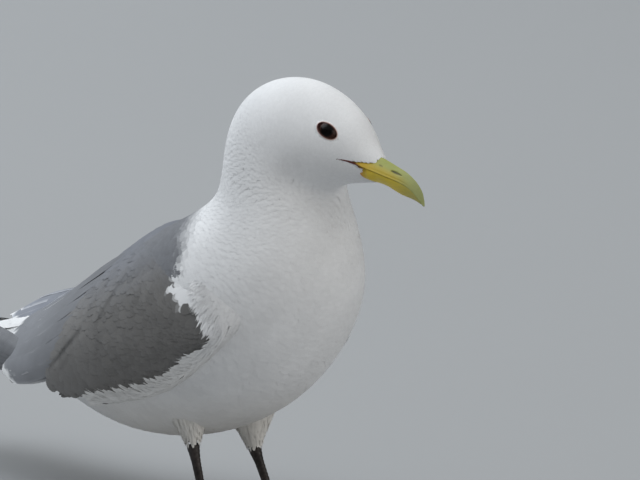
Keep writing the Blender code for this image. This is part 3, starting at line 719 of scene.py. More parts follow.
# where the white of the breast ends over the closed wing: u by v
WHITE_EDGE = ((-0.4, 0.12), (0, .105), (.10, .085), (.148, .070), (.165, .045), (.20, .045), (.25, .058), (.323, .075), (.40, .103), (.46, .088), (.513, .068), (.553, .028),
              (.575, .060), (.61, .02), (.66, -.02), (.72, -.045), (.79, -.055), (.88, -.030), (.94, 0.0), (1.0, .06), (1.1, .15))


def body_colour(pos, a, b, rnd, u, v):
    """White bird with a grey mantle; each feather keeps one colour, taken near its middle."""
    m = pos[:, 5:10].mean(1) if pos.shape[1] > 10 else pos.mean(1)
    y = np.abs(m[:, 1])
    high = smooth(121, 134, m[:, 2])
    xb = -10 + 0.68 * y - 26 * smooth(121, 111, m[:, 2])
    soft = 2.5 + 7.0 * high
    g = np.clip(0.5 - (m[:, 0] - xb + (3.0 - 1.6 * high) * rnd) / (2 * soft), 0, 1)
    g = g * g * (3 - 2 * g)
    g = g * smooth(-113, -107, m[:, 0] + 4.0 * rnd) * smooth(0.10, 0.30, np.cos(v))
    tone = 1 + 0.025 * rnd + 0.02 * wave_noise(m, 30, 5)
    # painted warm bounce: the white turns warmer low on the rear body, standing in for warm light bounced from below
    warm_bounce_paint = smooth(75, 45, m[:, 2]) * smooth(-90, -40, m[:, 0]) * 0.5
    white = C_WHITE * (1 - warm_bounce_paint[:, None]) + C_WARM_BOUNCE_WHITE * warm_bounce_paint[:, None]
    grey = C_GREY * (1 + 0.05 * rnd)[:, None]
    root = (white * (1 - g)[:, None] + grey * g[:, None]) * tone[:, None]
    edge = g[:, None] * smooth(0.80, 1.0, a) * 0.25
    return root[:, None] * (1 - edge[..., None]) + C_GREY_EDGE * edge[..., None]


# painted shade: short dark lines standing in for the shadowed gaps between loose feathers of the closed wing: (u, v) to
# (u, v), width mm, depth
WING_GAP_SHADE_LINES = (((0.340, 0.375), (0.405, 0.605), 1.5, 0.42), ((0.490, 0.600), (0.640, 0.800), 1.6, 0.85), ((0.455, 0.42), (0.475, 0.55), 2.4, 0.16), ((0.38, 0.66), (0.392, 0.76), 2.0, 0.18),
             ((0.52, 0.73), (0.58, 0.83), 1.8, 0.22), ((0.42, 0.30), (0.452, 0.42), 2.4, 0.12), ((0.235, 0.44), (0.25, 0.62), 3.0, 0.12), ((0.12, 0.70), (0.13, 0.80), 3.0, 0.10))


def painted_gap_shade(u, v):
    """Soft painted shade along the gaps between the closed wing's feathers, as a darkening factor."""
    f = np.ones(np.shape(u))
    for (u0, v0), (u1, v1), w, k in WING_GAP_SHADE_LINES:
        ax, ay, bx, by = u0 * 175, v0 * 80, u1 * 175, v1 * 80
        dx, dy = bx - ax, by - ay
        t = np.clip(((u * 175 - ax) * dx + (v * 80 - ay) * dy) / (dx * dx + dy * dy), 0, 1)
        d = np.hypot(u * 175 - ax - dx * t, v * 80 - ay - dy * t)
        f = f * (1 - k * np.exp(-(d / w) ** 2) * (0.35 + 0.65 * np.sin(pi * np.clip(t, 0.12, 0.88))))
    return f


def wing_colour(side):
    def fn(pos, a, b, rnd, u, v):
        m = pos.mean(1)
        edge_u = table(WHITE_EDGE, v)
        if side > 0:
            edge_u = np.maximum(edge_u, 0.07)
        g = smooth(-0.012, 0.012, u + 0.052 - edge_u + 0.014 * rnd)
        tone = 1 + 0.07 * rnd + 0.06 * wave_noise(m, 22, 9) + 0.04 * wave_noise(m, 9, 19)
        # painted light: the upper feathers get a cooler, lighter grey as painted sky light, the lower ones a warmer,
        # darker grey as painted warm bounce
        painted_sky_light = smooth(0.45, 0.0, v)[:, None]
        grey = (C_GREY * np.array([0.98, 0.91, 0.80]) * (1 - painted_sky_light) + C_GREY * np.array([1.0, 1.03, 1.10]) * painted_sky_light) * tone[:, None]
        white = C_WHITE * (1 + 0.02 * rnd)[:, None]
        root = white * (1 - g)[:, None] + grey * g[:, None]
        edge = g[:, None] * smooth(0.80, 1.0, a) * 0.12
        out = root[:, None] * (1 - edge[..., None]) + C_GREY_EDGE * edge[..., None]
        uu, vv = u[:, None] + a * 0.0, v[:, None] + a * 0.0
        if pos.shape[1] > 1:
            uu, vv = PLACE["u"], PLACE["v"]
        # painted shade of the gaps, laid on the grey feathers only
        f = painted_gap_shade(uu, vv)
        return out * (f * g[:, None] + (1 - g[:, None]))[..., None]
    return fn


# =====================================================================================
# Skin: one form inside the coat
# =====================================================================================
DEPTH = [(0, 2.2), (1, 1.6), (2, 1.0), (3, 0.9), (5, 1.3), (8, 2.0), (11, 3.0), (15, 3.5), (18, 3.0), (20, 2.2), (24, 1.2)]
SKIN_END = 0.83


def loft_shell(rings):
    """Closed tube over equal rings, as vertices and faces."""
    m, n = rings.shape[:2]
    v = list(map(tuple, rings.reshape(-1, 3)))
    f = [(i * n + j, i * n + (j + 1) % n, (i + 1) * n + (j + 1) % n, (i + 1) * n + j) for i in range(m - 1) for j in range(n)]
    for row, base, flip in ((rings[0], 0, False), (rings[-1], (m - 1) * n, True)):
        v.append(tuple(row.mean(0)))
        c = len(v) - 1
        for j in range(n):
            a, b = base + j, base + (j + 1) % n
            f.append((c, b, a) if not flip else (c, a, b))
    return v, f


def sheet_shell(outer, inner):
    m, n = outer.shape[:2]
    k = m * n
    v = list(map(tuple, outer.reshape(-1, 3))) + list(map(tuple, inner.reshape(-1, 3)))
    f = []
    for i in range(m - 1):
        for j in range(n - 1):
            a, b, c, d = i * n + j, i * n + j + 1, (i + 1) * n + j + 1, (i + 1) * n + j
            f += [(a, b, c, d), (k + d, k + c, k + b, k + a)]
    rim = [j for j in range(n)] + [i * n + n - 1 for i in range(1, m)] \
        + [(m - 1) * n + j for j in range(n - 2, -1, -1)] + [i * n for i in range(m - 2, 0, -1)]
    for a, b in zip(rim, rim[1:] + rim[:1]):
        f.append((b, a, k + a, k + b))
    return v, f


LEG_Y = 16.6
ANKLE = {-1: (-8.4, 36.0), 1: (-6.5, 30.5)}
TOE_JOINT = {-1: (2.5, 5.2), 1: (7.5, 5.2)}
TOE_JOINT_Y = 17.2
THIGH_ROWS = ((-0.35, 15.5), (0.0, 15.0), (0.25, 13.5), (0.45, 11.0), (0.62, 8.4), (0.78, 6.2), (0.90, 4.8), (1.0, 3.9))


def thigh_fn(side):
    ax, az = ANKLE[side]
    tx, tz = ax - 4.0, az + 24.0
    d = np.array([ax - tx, 0, az - tz])
    d /= np.linalg.norm(d)
    e1 = np.cross(d, [0, 1.0, 0])
    e2 = np.cross(d, e1)

    def fn(t, phi):
        t, phi = np.broadcast_arrays(np.asarray(t, float), np.asarray(phi, float))
        tt = t * 1.35 - 0.35
        r = np.interp(tt, [q[0] for q in THIGH_ROWS], [q[1] for q in THIGH_ROWS])
        c = np.stack([tx + (ax - tx) * tt, np.full_like(tt, side * LEG_Y), tz + (az - tz) * tt], -1)
        return c + e1 * (r * np.cos(phi))[..., None] + e2 * (r * 0.86 * np.sin(phi))[..., None]
    return fn


def make_skin():
    bits = []
    s = np.concatenate([np.linspace(0.0, 0.1, 10), np.linspace(0.115, SKIN_END, 74)])
    th = np.linspace(0, 2 * pi, 72, endpoint=False)
    p, _, _, n = body_s.frame(s[:, None], th[None, :])
    dep = table(DEPTH, s * NB)[:, None, None]
    mid = p.mean(1, keepdims=True)
    room = np.linalg.norm(p - mid, axis=2, keepdims=True)
    # where the form is flat the depth is held to part of its half thickness
    half = np.abs(p[:, :1, 2:3] - p[:, 36:37, 2:3]) * 0.5
    g = p - n * np.minimum(dep, 0.45 * half)
    g[-1] = mid[-1] + (g[-1] - mid[-1]) * 0.4
    bits.append(loft_shell(g))
    for fn, surf in ((wing_r_fn, wing_r), (wing_l_fn, wing_l)):
        u = np.linspace(0.03, 0.80, 40)[:, None]
        v = np.linspace(0.05, 0.92, 24)[None, :]
        q, _, _, m = surf.frame(u, v)
        t = np.sqrt(np.clip(np.sin(pi * (u - 0.03) / 0.77) * np.sin(pi * (v - 0.05) / 0.87), 0, 1))[..., None]
        bits.append(sheet_shell(q - m * (2.2 + 0.6 * (1 - t)), q - m * (2.8 + 6.0 * t)))
    for side in (-1, 1):
        fn = thigh_fn(side)
        t = np.linspace(0, 0.985, 24)
        ph = np.linspace(0, 2 * pi, 28, endpoint=False)
        g = fn(t[:, None], ph[None, :])
        c = g.mean(1, keepdims=True)
        g = c + (g - c) * (1 - 1.3 / np.maximum(np.linalg.norm(g - c, axis=2, keepdims=True), 2.0))
        bits.append(loft_shell(g))
    verts, faces, off = [], [], 0
    for v, f in bits:
        verts += v
        faces += [tuple(i + off for i in q) for q in f]
        off += len(v)
    me = bpy.data.meshes.new("skin_raw")
    me.from_pydata(world(np.array(verts)).tolist(), [], faces)
    import bmesh
    bm = bmesh.new()
    bm.from_mesh(me)
    bmesh.ops.recalc_face_normals(bm, faces=bm.faces)
    bm.to_mesh(me)
    bm.free()
    ob = bpy.data.objects.new("skin_raw", me)
    bpy.context.scene.collection.objects.link(ob)
    rm = ob.modifiers.new("r", 'REMESH')
    rm.mode = 'VOXEL'
    rm.voxel_size = 0.0014
    rm.use_smooth_shade = True
    sm = ob.modifiers.new("s", 'SMOOTH')
    sm.factor = 0.5
    sm.iterations = 4
    bpy.context.view_layer.update()
    dg = bpy.context.evaluated_depsgraph_get()
    out = bpy.data.meshes.new_from_object(ob.evaluated_get(dg))
    bpy.data.objects.remove(ob, do_unlink=True)
    out.name = "skin"
    sk = bpy.data.objects.new("skin", out)
    bpy.context.scene.collection.objects.link(sk)
    co = np.zeros(len(out.vertices) * 3, np.float32)
    out.vertices.foreach_get("co", co)
    co = co.reshape(-1, 3).astype(float) * 1000.0 - OFF
    # the same markings as the coat, from the nearest place of the outer form
    S, TH = np.meshgrid(np.linspace(0, 1, 260), np.linspace(0, 2 * pi, 120, endpoint=False), indexing='ij')
    bp = body_point(S, TH).reshape(-1, 1, 3)
    bc = body_colour(bp, np.zeros((len(bp), 1)), None, np.zeros(len(bp)), S.ravel(), TH.ravel())[:, 0]
    ref, refc, keep_w = [bp[:, 0]], [bc], []
    for side in (-1, 1):
        wp = wing_pts[side][:, None]
        refc.append(wing_colour(side)(wp, np.zeros((len(wp), 1)), None, np.zeros(len(wp)), wu.ravel(), wv.ravel())[:, 0])
        ref.append(wp[:, 0])
    ref, refc = np.concatenate(ref), np.concatenate(refc)
    t = KDTree(len(ref))
    for i, q in enumerate(ref):
        t.insert(q, i)
    t.balance()
    near = np.array([t.find(q)[1] for q in co])
    col = np.ones((len(co), 4), np.float32)
    col[:, :3] = refc[near] * 0.9
    at = out.attributes.new("Tint", "FLOAT_COLOR", "POINT")
    at.data.foreach_set("color", col.ravel())
    out.materials.clear()
    out.materials.append(M_SKIN)
    piece(sk, "plumage_white", "trunk", "neck", "head", "tail", "wing_right", "wing_left", "wingtip_right", "wingtip_left", "thigh_right", "thigh_left")
    return sk


# =====================================================================================
# Body coat
# =====================================================================================
LEN_K = [(0, 1.5), (1, 1.8), (3, 2.6), (5, 3.6), (7, 4.6), (8, 5.2), (9, 6.2), (10, 7.6), (12, 10), (14, 12), (16, 13.5), (18, 15), (20, 17), (24, 17)]
WID_K = [(0, 0.9), (1, 1.1), (3, 1.7), (5, 2.4), (7, 3.1), (8, 3.5), (9, 4.0), (10, 4.8), (12, 6.2), (14, 7.4), (16, 8.0), (18, 8.0), (20, 8.0), (24, 8)]


BILL_EDGE = np.array([(78.0, 172.45), (82.0, 172.2), (86.4, 171.7), (91.3, 171.4), (93.6, 171.3), (93.4, 172.4), (92.8, 173.4), (96, 176), (120, 168), (120, 150),
                      (94.4, 161.4), (91.2, 162.3), (89.2, 163.4), (88.3, 164.9), (88.0, 166.2), (87.4, 167.8), (84.8, 169.7), (81.5, 171.2), (78.0, 171.9)])


def in_polygon(x, z, poly):
    inside = np.zeros(x.shape, bool)
    n = len(poly)
    for i in range(n):
        (x0, z0), (x1, z1) = poly[i], poly[(i + 1) % n]
        cross = ((z0 > z) != (z1 > z))
        with np.errstate(divide='ignore', invalid='ignore'):
            xi = (x1 - x0) * (z - z0) / (z1 - z0 + 1e-12) + x0
        inside ^= cross & (x < xi)
    return inside


def in_features(p, L, d):
    """True for face vanes that would lie over the eye or the gape: checked at root, middle and tip."""
    bad = np.zeros(len(p), bool)
    for f in (0.0, 0.5, 1.0):
        q = p + d * (L * f)[:, None]
        for side in (-1, 1):
            a, b, c = eye_ab(q, side)
            bad |= ((a / 5.42) ** 2 + (b / 3.38) ** 2 < 1) & (np.abs(c) < 8) & (np.sign(unturn_head(q)[:, 1]) == side)
        r = unturn_head(q)
        bad |= in_polygon(r[:, 0], r[:, 2], BILL_EDGE)
    return bad


def body_roots(name, s0, s1, cover, seed, th0=0.0, th1=2 * pi, fine=False):
    def density(S, TH, P, N):
        k = S * NB
        dorsal = smooth(0.0, 0.6, np.cos(TH)) * smooth(10.5, 12.0, k) * smooth(18.5, 17.0, k)
        L = table(LEN_K, k) * (1 + 0.25 * dorsal)
        W = table(WID_K, k) * (1 + 0.45 * dorsal)
        return cover / (L * W)
    s, th = scatter(body_s, s0, s1, th0, th1, density, seed)
    p, pu, pv, n = body_s.frame(s, th)
    keep = np.ones(len(s), bool)
    if s1 > 9.0 / NB:
        cov = under_wing(p)
        # feathers go where the wing's upper face lies over the body, and stay where the body stands above it
        over = np.full(len(p), -9.0)
        for sgn, wing in ((-1, wing_r), (1, wing_l)):
            on = (p[:, 1] < 0) if sgn < 0 else (p[:, 1] >= 0)
            if on.any():
                wq, _, _, wn = wing.frame(cov[on, 0], cov[on, 1])
                over[on] = np.sum((p[on] - wq) * wn, 1)
        under = (cov[:, 2] < 9.0) & (cov[:, 0] > 0.07) & (cov[:, 0] < 0.90) & (cov[:, 1] > 0.06) & (cov[:, 1] < 0.90)
        near_front = (cov[:, 0] < 0.30) | (cov[:, 1] < 0.25)
        keep &= ~(under & ~((over > -0.9) & near_front))
    return s[keep], th[keep]


def body_coat(name, s0, s1, cover, seed, mat, slot, tmpl=T_FINE, hi=0.18, camber=0.03, kappa=0.22, th0=0.0, th1=2 * pi, jitter=0.09, deep=0.85, power=0.4):
    s, th = body_roots(name, s0, s1, cover, seed, th0, th1)
    rng = np.random.default_rng(seed + 7)
    k = s * NB
    p, pu, pv, n = body_s.frame(s, th)
    dorsal = smooth(0.0, 0.6, np.cos(th)) * smooth(10.5, 12.0, k) * smooth(18.5, 17.0, k)
    L = table(LEN_K, k) * (1 + 0.25 * dorsal) * rng.uniform(0.85, 1.15, len(s))
    W = table(WID_K, k) * (1 + 0.45 * dorsal) * rng.uniform(0.9, 1.1, len(s))
    ang = rng.normal(0, jitter, len(s))
    d = pu / np.linalg.norm(pu, axis=1, keepdims=True)
    if s0 < 0.25:
        keep = ~in_features(p, L, d)
        s, th, L, W, ang, k = s[keep], th[keep], L[keep], W[keep], ang[keep], k[keep]
    dep = np.minimum(table(DEPTH, k), 0.28 * L)
    tip = hi * np.clip(L / 8.0, 0.35, 1.3) * rng.uniform(0.4, 1.5, len(s))
    return tufts(body_s, s, th, L, W, ang, -dep * deep, tip, seed + 1, tmpl=tmpl, camber=camber, kappa=kappa,
                 colour=body_colour, uv_box=(s0, s1, th0, th1), sway=0.05, power=power)


def make_body_coat():
    coat("coat_face", body_coat("face", 0.0, 4.2 / NB, 7.0, 11, M_WHITE, "plumage_white", tmpl=T_SMALL, hi=0.07, camber=0.012, kappa=0.14), M_WHITE, "plumage_white")
    coat("coat_head", body_coat("head", 3.6 / NB, 8.2 / NB, 7.5, 12, M_WHITE, "plumage_white", tmpl=T_SMALL, hi=0.06, camber=0.010, kappa=0.12, deep=0.55, power=0.32), M_WHITE, "plumage_white")
    coat("coat_neck", body_coat("neck", 7.5 / NB, 11.2 / NB, 9.0, 13, M_WHITE, "plumage_white", hi=0.035, camber=0.008, kappa=0.10, deep=0.40, power=0.28), M_WHITE, "plumage_white")
    coat("coat_breast", body_coat("breast", 10.5 / NB, 14.7 / NB, 9.0, 14, M_WHITE, "plumage_white", hi=0.055, camber=0.010, kappa=0.12, deep=0.45, power=0.30), M_WHITE, "plumage_white")
    coat("coat_rear", body_coat("rear", 14.0 / NB, 20.6 / NB, 8.0, 15, M_WHITE, "plumage_white", hi=0.09, camber=0.014, kappa=0.16, deep=0.6, power=0.35), M_WHITE, "plumage_white")
    # tibial feathers
    for side, word in ((-1, "right"), (1, "left")):
        fn = thigh_fn(side)
        e = 1e-3
        out = fn(np.array(0.6), np.array(0.3)) - np.array([ANKLE[side][0] - 2, side * LEG_Y, 48])
        surf = Surface(fn, _outward_sign(fn, .6, .3, out), wrap_v=True)
        t, ph = scatter(surf, 0.12, 0.93, 0, 2 * pi, lambda a, b, c, d: 0.32 + 0 * a, 31 + side, 60, 40)
        rng = np.random.default_rng(77 + side)
        L = rng.uniform(6.0, 9.0, len(t)) * (1 - 0.45 * smooth(0.6, 0.95, t))
        W = rng.uniform(2.2, 3.2, len(t)) * (1 - 0.3 * smooth(0.6, 0.95, t))
        def leg_white(pos, a, b, rnd, u, v):
            # painted warm bounce: the thigh feathers take the warm white of the low parts
            return np.broadcast_to((C_WARM_BOUNCE_WHITE * 0.97)[None, None], pos.shape) * (1 + 0.03 * rnd)[:, None, None]
        dat = tufts(surf, t, ph, L, W, rng.normal(0, 0.12, len(t)), -0.9, 0.35 * rng.uniform(0.2, 1.4, len(t)), 41 + side,
                    camber=0.03, kappa=0.25, colour=leg_white, uv_box=(0.1, 0.95, 0, 2 * pi))
        coat("coat_thigh_" + word, dat, M_WHITE, "plumage_white")


# =====================================================================================
# Wings
# =====================================================================================
def wing_lie(u, v):
    """Angle of the feathers' lie on the closed wing, in radians from straight back towards the lower edge."""
    drape = np.exp(-((u - 0.30) / 0.17) ** 2) * smooth(0.80, 0.50, v) * smooth(0.02, 0.26, v)
    wrist = smooth(0.30, 0.05, u) * smooth(0.5, 0.7, v)
    return radians(1) * (8 + 12 * smooth(0.0, 0.3, v) + 40 * drape + 16 * wrist)


def wing_size(u, v):
    L = 10.5 + 7.5 * smooth(0.03, 0.35, u) + 3.0 * smooth(0.4, 0.6, u)
    L = L * (1 - 0.32 * smooth(0.32, 0.12, u) * smooth(0.5, 0.7, v))
    return L, L * 0.50


def wing_coat(side):
    surf = wing_r if side < 0 else wing_l
    word = "right" if side < 0 else "left"
    rng = np.random.default_rng(500 + side)
    parts = []
    box = (-0.07, 0.92, -0.17, 1.0)
    colour = wing_colour(side)

    def lay(u, v, L, W, beta, lo, hi, seed, tmpl=T_BROAD, **kw):
        sunk = 2.2 * smooth(0.17, 0.03, v) * smooth(0.25, 0.14, u) + 1.0 * smooth(0.08, 0.0, v) * smooth(0.46, 0.60, u)
        if side > 0:
            sunk = sunk + 1.4 * smooth(0.22, 0.36, u) * smooth(0.12, 0.0, v)
        lo, hi = lo - sunk, hi - sunk
        parts.append(tufts(surf, u, v, L, W, beta, lo, hi, seed, tmpl=tmpl, colour=colour, uv_box=box, **kw))

    # fill below everything: short vanes all over so that no bare skin shows
    u, v = scatter(surf, 0.0, 0.90, -0.12, 0.92, lambda a, b, c, d: 0.035 * (1 - smooth(0.78, 0.82, b) * smooth(0.55, 0.6, a)) * (1 - (side > 0) * smooth(0.30, 0.38, a) * smooth(0.14 + 0.08 * smooth(0.4, 0.6, a), 0.10 + 0.08 * smooth(0.4, 0.6, a), b)), 60 + side, 90, 60)
    lay(u, v, rng.uniform(12, 15, len(u)), rng.uniform(8, 10, len(u)), radians(22) + rng.normal(0, 0.06, len(u)), -2.6, -1.4, 61, tmpl=T_FINE, camber=0.03, kappa=0.3)
    # greater coverts: a row of rounded ends along the lower edge
    tips = np.array([(0.690, 0.925), (0.665, 0.95), (0.640, 0.975), (0.612, 0.995), (0.578, 0.995), (0.540, 0.98), (0.505, 0.985), (0.470, 1.01), (0.436, 1.035), (0.402, 1.03), (0.365, 1.01), (0.330, 1.00),
                     (0.295, 1.00), (0.26, 1.00), (0.225, 1.00), (0.19, 0.995), (0.15, 0.99), (0.11, 0.98)])
    Lg = np.interp(tips[:, 0], [0.15, 0.4, 0.7], [18, 26, 31])
    ag = np.interp(tips[:, 0], [0.15, 0.4, 0.7], [0.34, 0.40, 0.46])
    p, pu, pv, nn = surf.frame(tips[:, 0], np.minimum(tips[:, 1], 0.99))
    ru = tips[:, 0] - Lg * np.cos(ag) / np.linalg.norm(pu, axis=1)
    rv = tips[:, 1] - Lg * np.sin(ag) / np.linalg.norm(pv, axis=1)
    order = np.arange(len(tips))
    lay(ru, rv, Lg, np.interp(tips[:, 0], [0.15, 0.7], [11, 14.5]), ag, -1.6, 0.05 + 0.10 * (order % 2) + 0.012 * order[::-1], 95, tmpl=T_ROUND, camber=0.03, kappa=0.30, rag=0.01, power=0.6)
    # coverts and scapulars: well spread, each over the roots of the next behind
    def density(U, V, P, N):
        L, W = wing_size(U, V)
        w = 9.5 / (L * W)
        ahead = smooth(-0.005, 0.005, U) + (side < 0) * (1 - smooth(-0.005, 0.005, U)) * smooth(0.60, 0.66, V) * smooth(0.97, 0.93, V)
        behind = smooth(0.60 + 0.05 * smooth(0.5, 0.1, V), 0.55 + 0.05 * smooth(0.5, 0.1, V), U)
        low = 1 - smooth(0.86, 0.90, V) * smooth(0.10, 0.2, U)
        ridge = 1 - (side > 0) * smooth(0.30, 0.38, U) * smooth(0.10 + 0.08 * smooth(0.4, 0.6, U), 0.06 + 0.08 * smooth(0.4, 0.6, U), V)
        return w * ahead * behind * low * ridge
    u, v = scatter(surf, -0.062, 0.64, -0.16, 0.93, density, 71 + side)
    order = np.argsort(-u)
    u, v = u[order], v[order]
    n = len(u)
    L, W = wing_size(u, v)
    L = L * rng.uniform(0.88, 1.12, n)
    W = W * rng.uniform(0.92, 1.08, n)
    beta = wing_lie(u, v) + rng.normal(0, 0.08, n)
    front = smooth(0.03, -0.03, u)
    lay(u, v, L, W, beta, -1.3 - 0.8 * front, rng.uniform(0.04, 0.16, n) - 0.5 * smooth(-0.01, -0.06, u), 72, camber=0.010, kappa=0.15, power=0.36, rag=0.05, sway=0.05)
    coat("coat_wing_" + word, joined(*parts), M_GREY, "plumage_grey")


# ---- large feathers: closed blades with a shaft, each with its own place on the map
def blades(surf_eval, specs, nr=26, nc=9, thick=0.28, cols=4):
    """specs: dicts with path(a) -> (u, v), half(a) -> half width mm, lift(a, b) mm, colour(a, b, p)."""
    V, N, C, UV, VN, Q, T, off = [], [], [], [], [], [], [], 0
    rows_n = int(np.ceil(len(specs) / cols))
    for k, sp in enumerate(specs):
        rng = np.random.default_rng(sp.get("seed", k))
        a = np.linspace(0, 1, nr)[:, None]
        b = np.linspace(-1, 1, nc)[None, :]
        A, B = np.broadcast_arrays(a, b)
        # rounded end: rows bend back towards the edges, the last rows close in
        end = sp.get("round", 0.12)
        Aw = A - end * np.abs(B) ** 2.4 * A ** 3
        u0, v0 = sp["path"](Aw)
        hw = sp["half"](Aw)
        closing = np.sqrt(np.clip(1 - np.clip((A - (1 - end * 0.5)) / (end * 0.5), 0, 1) ** 2 * 0.55, 0, 1))
        y = hw * B * closing * sp.get("skew", 1.0)
        p, pu, pv, nn = surf_eval(u0, v0)
        e = 1e-3
        u1, v1 = sp["path"](Aw + e)
        p1 = surf_eval(u1, v1)[0]
        d = p1 - p
        d /= np.linalg.norm(d, axis=-1, keepdims=True) + 1e-12
        w = np.cross(nn, d)
        w /= np.linalg.norm(w, axis=-1, keepdims=True) + 1e-12
        D = w * y[..., None]
        g11, g12, g22 = np.sum(pu * pu, -1), np.sum(pu * pv, -1), np.sum(pv * pv, -1)
        b1, b2 = np.sum(D * pu, -1), np.sum(D * pv, -1)
        det = g11 * g22 - g12 * g12 + 1e-12
        du, dv = (b1 * g22 - b2 * g12) / det, (g11 * b2 - g12 * b1) / det
        q, _, _, n2 = surf_eval(u0 + du, v0 + dv)
        h = sp["lift"](A, B) + 0.30 * np.exp(-(B / 0.10) ** 2) * (1 - 0.7 * A)
        rip = 0.05 * wave_noise(np.stack([A * 40, B * 4, np.full_like(A, k * 7.0)], -1), 6.0, 3)
        top = q + n2 * (h + rip)[..., None]
        bot = top - n2 * (thick * (1 - 0.6 * np.abs(B)))[..., None]
        # normals of the upper face
        gu, gv = np.gradient(top, axis=0), np.gradient(top, axis=1)
        nt = np.cross(gu, gv)
        nt /= np.linalg.norm(nt, axis=-1, keepdims=True) + 1e-12
        if np.sum(nt * n2) < 0:
            nt = -nt
            flip = True
        else:
            flip = False
        nt = nt * 0.6 + n2 * 0.4
        m = nr * nc
        V += [top.reshape(-1, 3), bot.reshape(-1, 3)]
        N += [nt.reshape(-1, 3), -n2.reshape(-1, 3)]
        c = sp["colour"](A, B, top)
        under = sp["under"](A, B, top) if "under" in sp else c * 0.85
        C += [c.reshape(-1, 3), under.reshape(-1, 3)]
        ci, ri = k % cols, k // cols
        def tile(x0, x1):
            uu = (ci + x0 + (x1 - x0) * (B + 1) / 2) / cols
            vv = (ri + 0.04 + 0.92 * A) / rows_n
            return np.stack([uu, vv], -1).reshape(-1, 2)
        UV += [tile(0.04, 0.50), tile(0.54, 0.96)]
        vn = np.stack([(A * sp.get("len", 60) + 0.9 * np.abs(y)) * 0.05, y * 0.05], -1).reshape(-1, 2)
        VN += [vn, vn]
        idx = np.arange(m).reshape(nr, nc)
        f = np.stack([idx[:-1, :-1], idx[1:, :-1], idx[1:, 1:], idx[:-1, 1:]], -1).reshape(-1, 4)
        g = f[:, ::-1] + m
        rim = list(idx[0, :]) + list(idx[1:, -1]) + list(idx[-1, -2::-1]) + list(idx[-2:0, 0])
        rr = [(rim[i], rim[(i + 1) % len(rim)], rim[(i + 1) % len(rim)] + m, rim[i] + m) for i in range(len(rim))]
        allf = np.concatenate([f, g, np.array(rr)])
        if flip:
            allf = allf[:, ::-1]
        Q.append(allf + off)
        off += 2 * m
    return dict(v=np.concatenate(V), n=np.concatenate(N), c=np.concatenate(C), uv=np.concatenate(UV), vane=np.concatenate(VN),
                q=np.concatenate(Q), t=np.zeros((0, 3), int))


def curve_path(pts):
    pts = np.asarray(pts, float)
    def fn(a):
        c = cubic(pts, np.clip(a, 0, 1.02))
        return c[..., 0], c[..., 1]
    return fn


def half_profile(w, root=0.5, end=0.9, mid=1.0):
    def fn(a):
        return w * 0.5 * np.interp(a, [0, 0.25, 0.6, 0.85, 1.0], [root, 0.9 * mid, mid, mid * 0.98, end])
    return fn


def tertial_colour(fringe=6.0, length=70.0, seed=0):
    rng = np.random.default_rng(seed)
    tone = 1 + 0.05 * rng.uniform(-1, 1)
    def fn(A, B, P):
        back = (1 - A) * length + 1.5 * wave_noise(P, 5.0, 8)
        w = smooth(fringe + 0.8, fringe - 0.8, back + 0.8 * (1 - np.abs(B) ** 3))
        side_edge = smooth(0.90, 1.0, np.abs(B)) * 0.18 * smooth(0.3, 0.7, A)
        mix = np.clip(w + side_edge * (1 - w), 0, 1)[..., None]
        # the long feathers grow paler towards their ends
        g = C_GREY * tone * ((1 + 0.06 * wave_noise(P, 14.0, 4)) * (1 + 0.40 * smooth(0.25, 0.95, A)))[..., None]
        return g * (1 - mix) + C_WHITE * mix
    return fn


def white_colour(A, B, P):
    return C_WHITE * (1 + 0.02 * wave_noise(P, 12.0, 6))[..., None]


def make_tertials(side):
    surf = wing_r if side < 0 else wing_l
    word = "right" if side < 0 else "left"
    specs = []
    # tip, root, half width, white fringe
    plan = [((0.985, 0.885), (0.50, 0.70), 6.0, 11.0), ((1.000, 0.74), (0.50, 0.56), 8.5, 6.0), ((1.012, 0.575), (0.50, 0.44), 8.5, 3.4),
            ((1.018, 0.41), (0.50, 0.33), 8.5, 3.0), ((1.002, 0.245), (0.49, 0.22), 8.5, 2.6), ((0.975, 0.10), (0.46, 0.11), 7.5, 2.4)]
    for k, (tp, rt, hw, fringe) in enumerate(plan[:4] if side > 0 else plan):
        m = (0.5 * (tp[0] + rt[0]), 0.5 * (tp[1] + rt[1]) + 0.02)
        m1 = (0.75 * tp[0] + 0.25 * rt[0], 0.75 * tp[1] + 0.25 * rt[1] + 0.02)
        m0 = (0.25 * tp[0] + 0.75 * rt[0], 0.25 * tp[1] + 0.75 * rt[1] + 0.01)
        lift = 0.05 + 0.24 * k
        specs.append(dict(path=curve_path([rt, m0, m, m1, tp]), half=half_profile(2 * hw, end=0.86), round=0.12,
                          lift=(lambda A, B, l=lift: -1.4 * (1 - smooth(0, 0.35, A)) + l - 0.35 * B * B * (0.3 + 0.7 * A)),
                          colour=tertial_colour(fringe, 80.0, 20 + k), seed=200 + k, len=80))
    # the outermost secondary's white rear edge shows as a line under the tertials
    tp, rt = (0.995, 0.950), (0.46, 0.78)
    m = (0.5 * (tp[0] + rt[0]), 0.5 * (tp[1] + rt[1]))
    def edge_white(A, B, P):
        c = tertial_colour(16.0, 84.0, 40)(A, B, P)
        w = smooth(0.55, 0.85, np.abs(B))[..., None] * smooth(0.3, 0.6, A)[..., None]
        return c * (1 - w) + C_WHITE * w
    specs.append(dict(path=curve_path([rt, (rt[0] * .75 + tp[0] * .25, rt[1] * .75 + tp[1] * .25), m, (rt[0] * .25 + tp[0] * .75, rt[1] * .25 + tp[1] * .75), tp]),
                      half=half_profile(8.0), round=0.12, lift=(lambda A, B: -0.75 - 0.2 * B * B), colour=edge_white, seed=230, len=84))
    dat = blades(surf.frame, specs)
    coat("coat_tertials_" + word, dat, M_GREY, "plumage_grey")


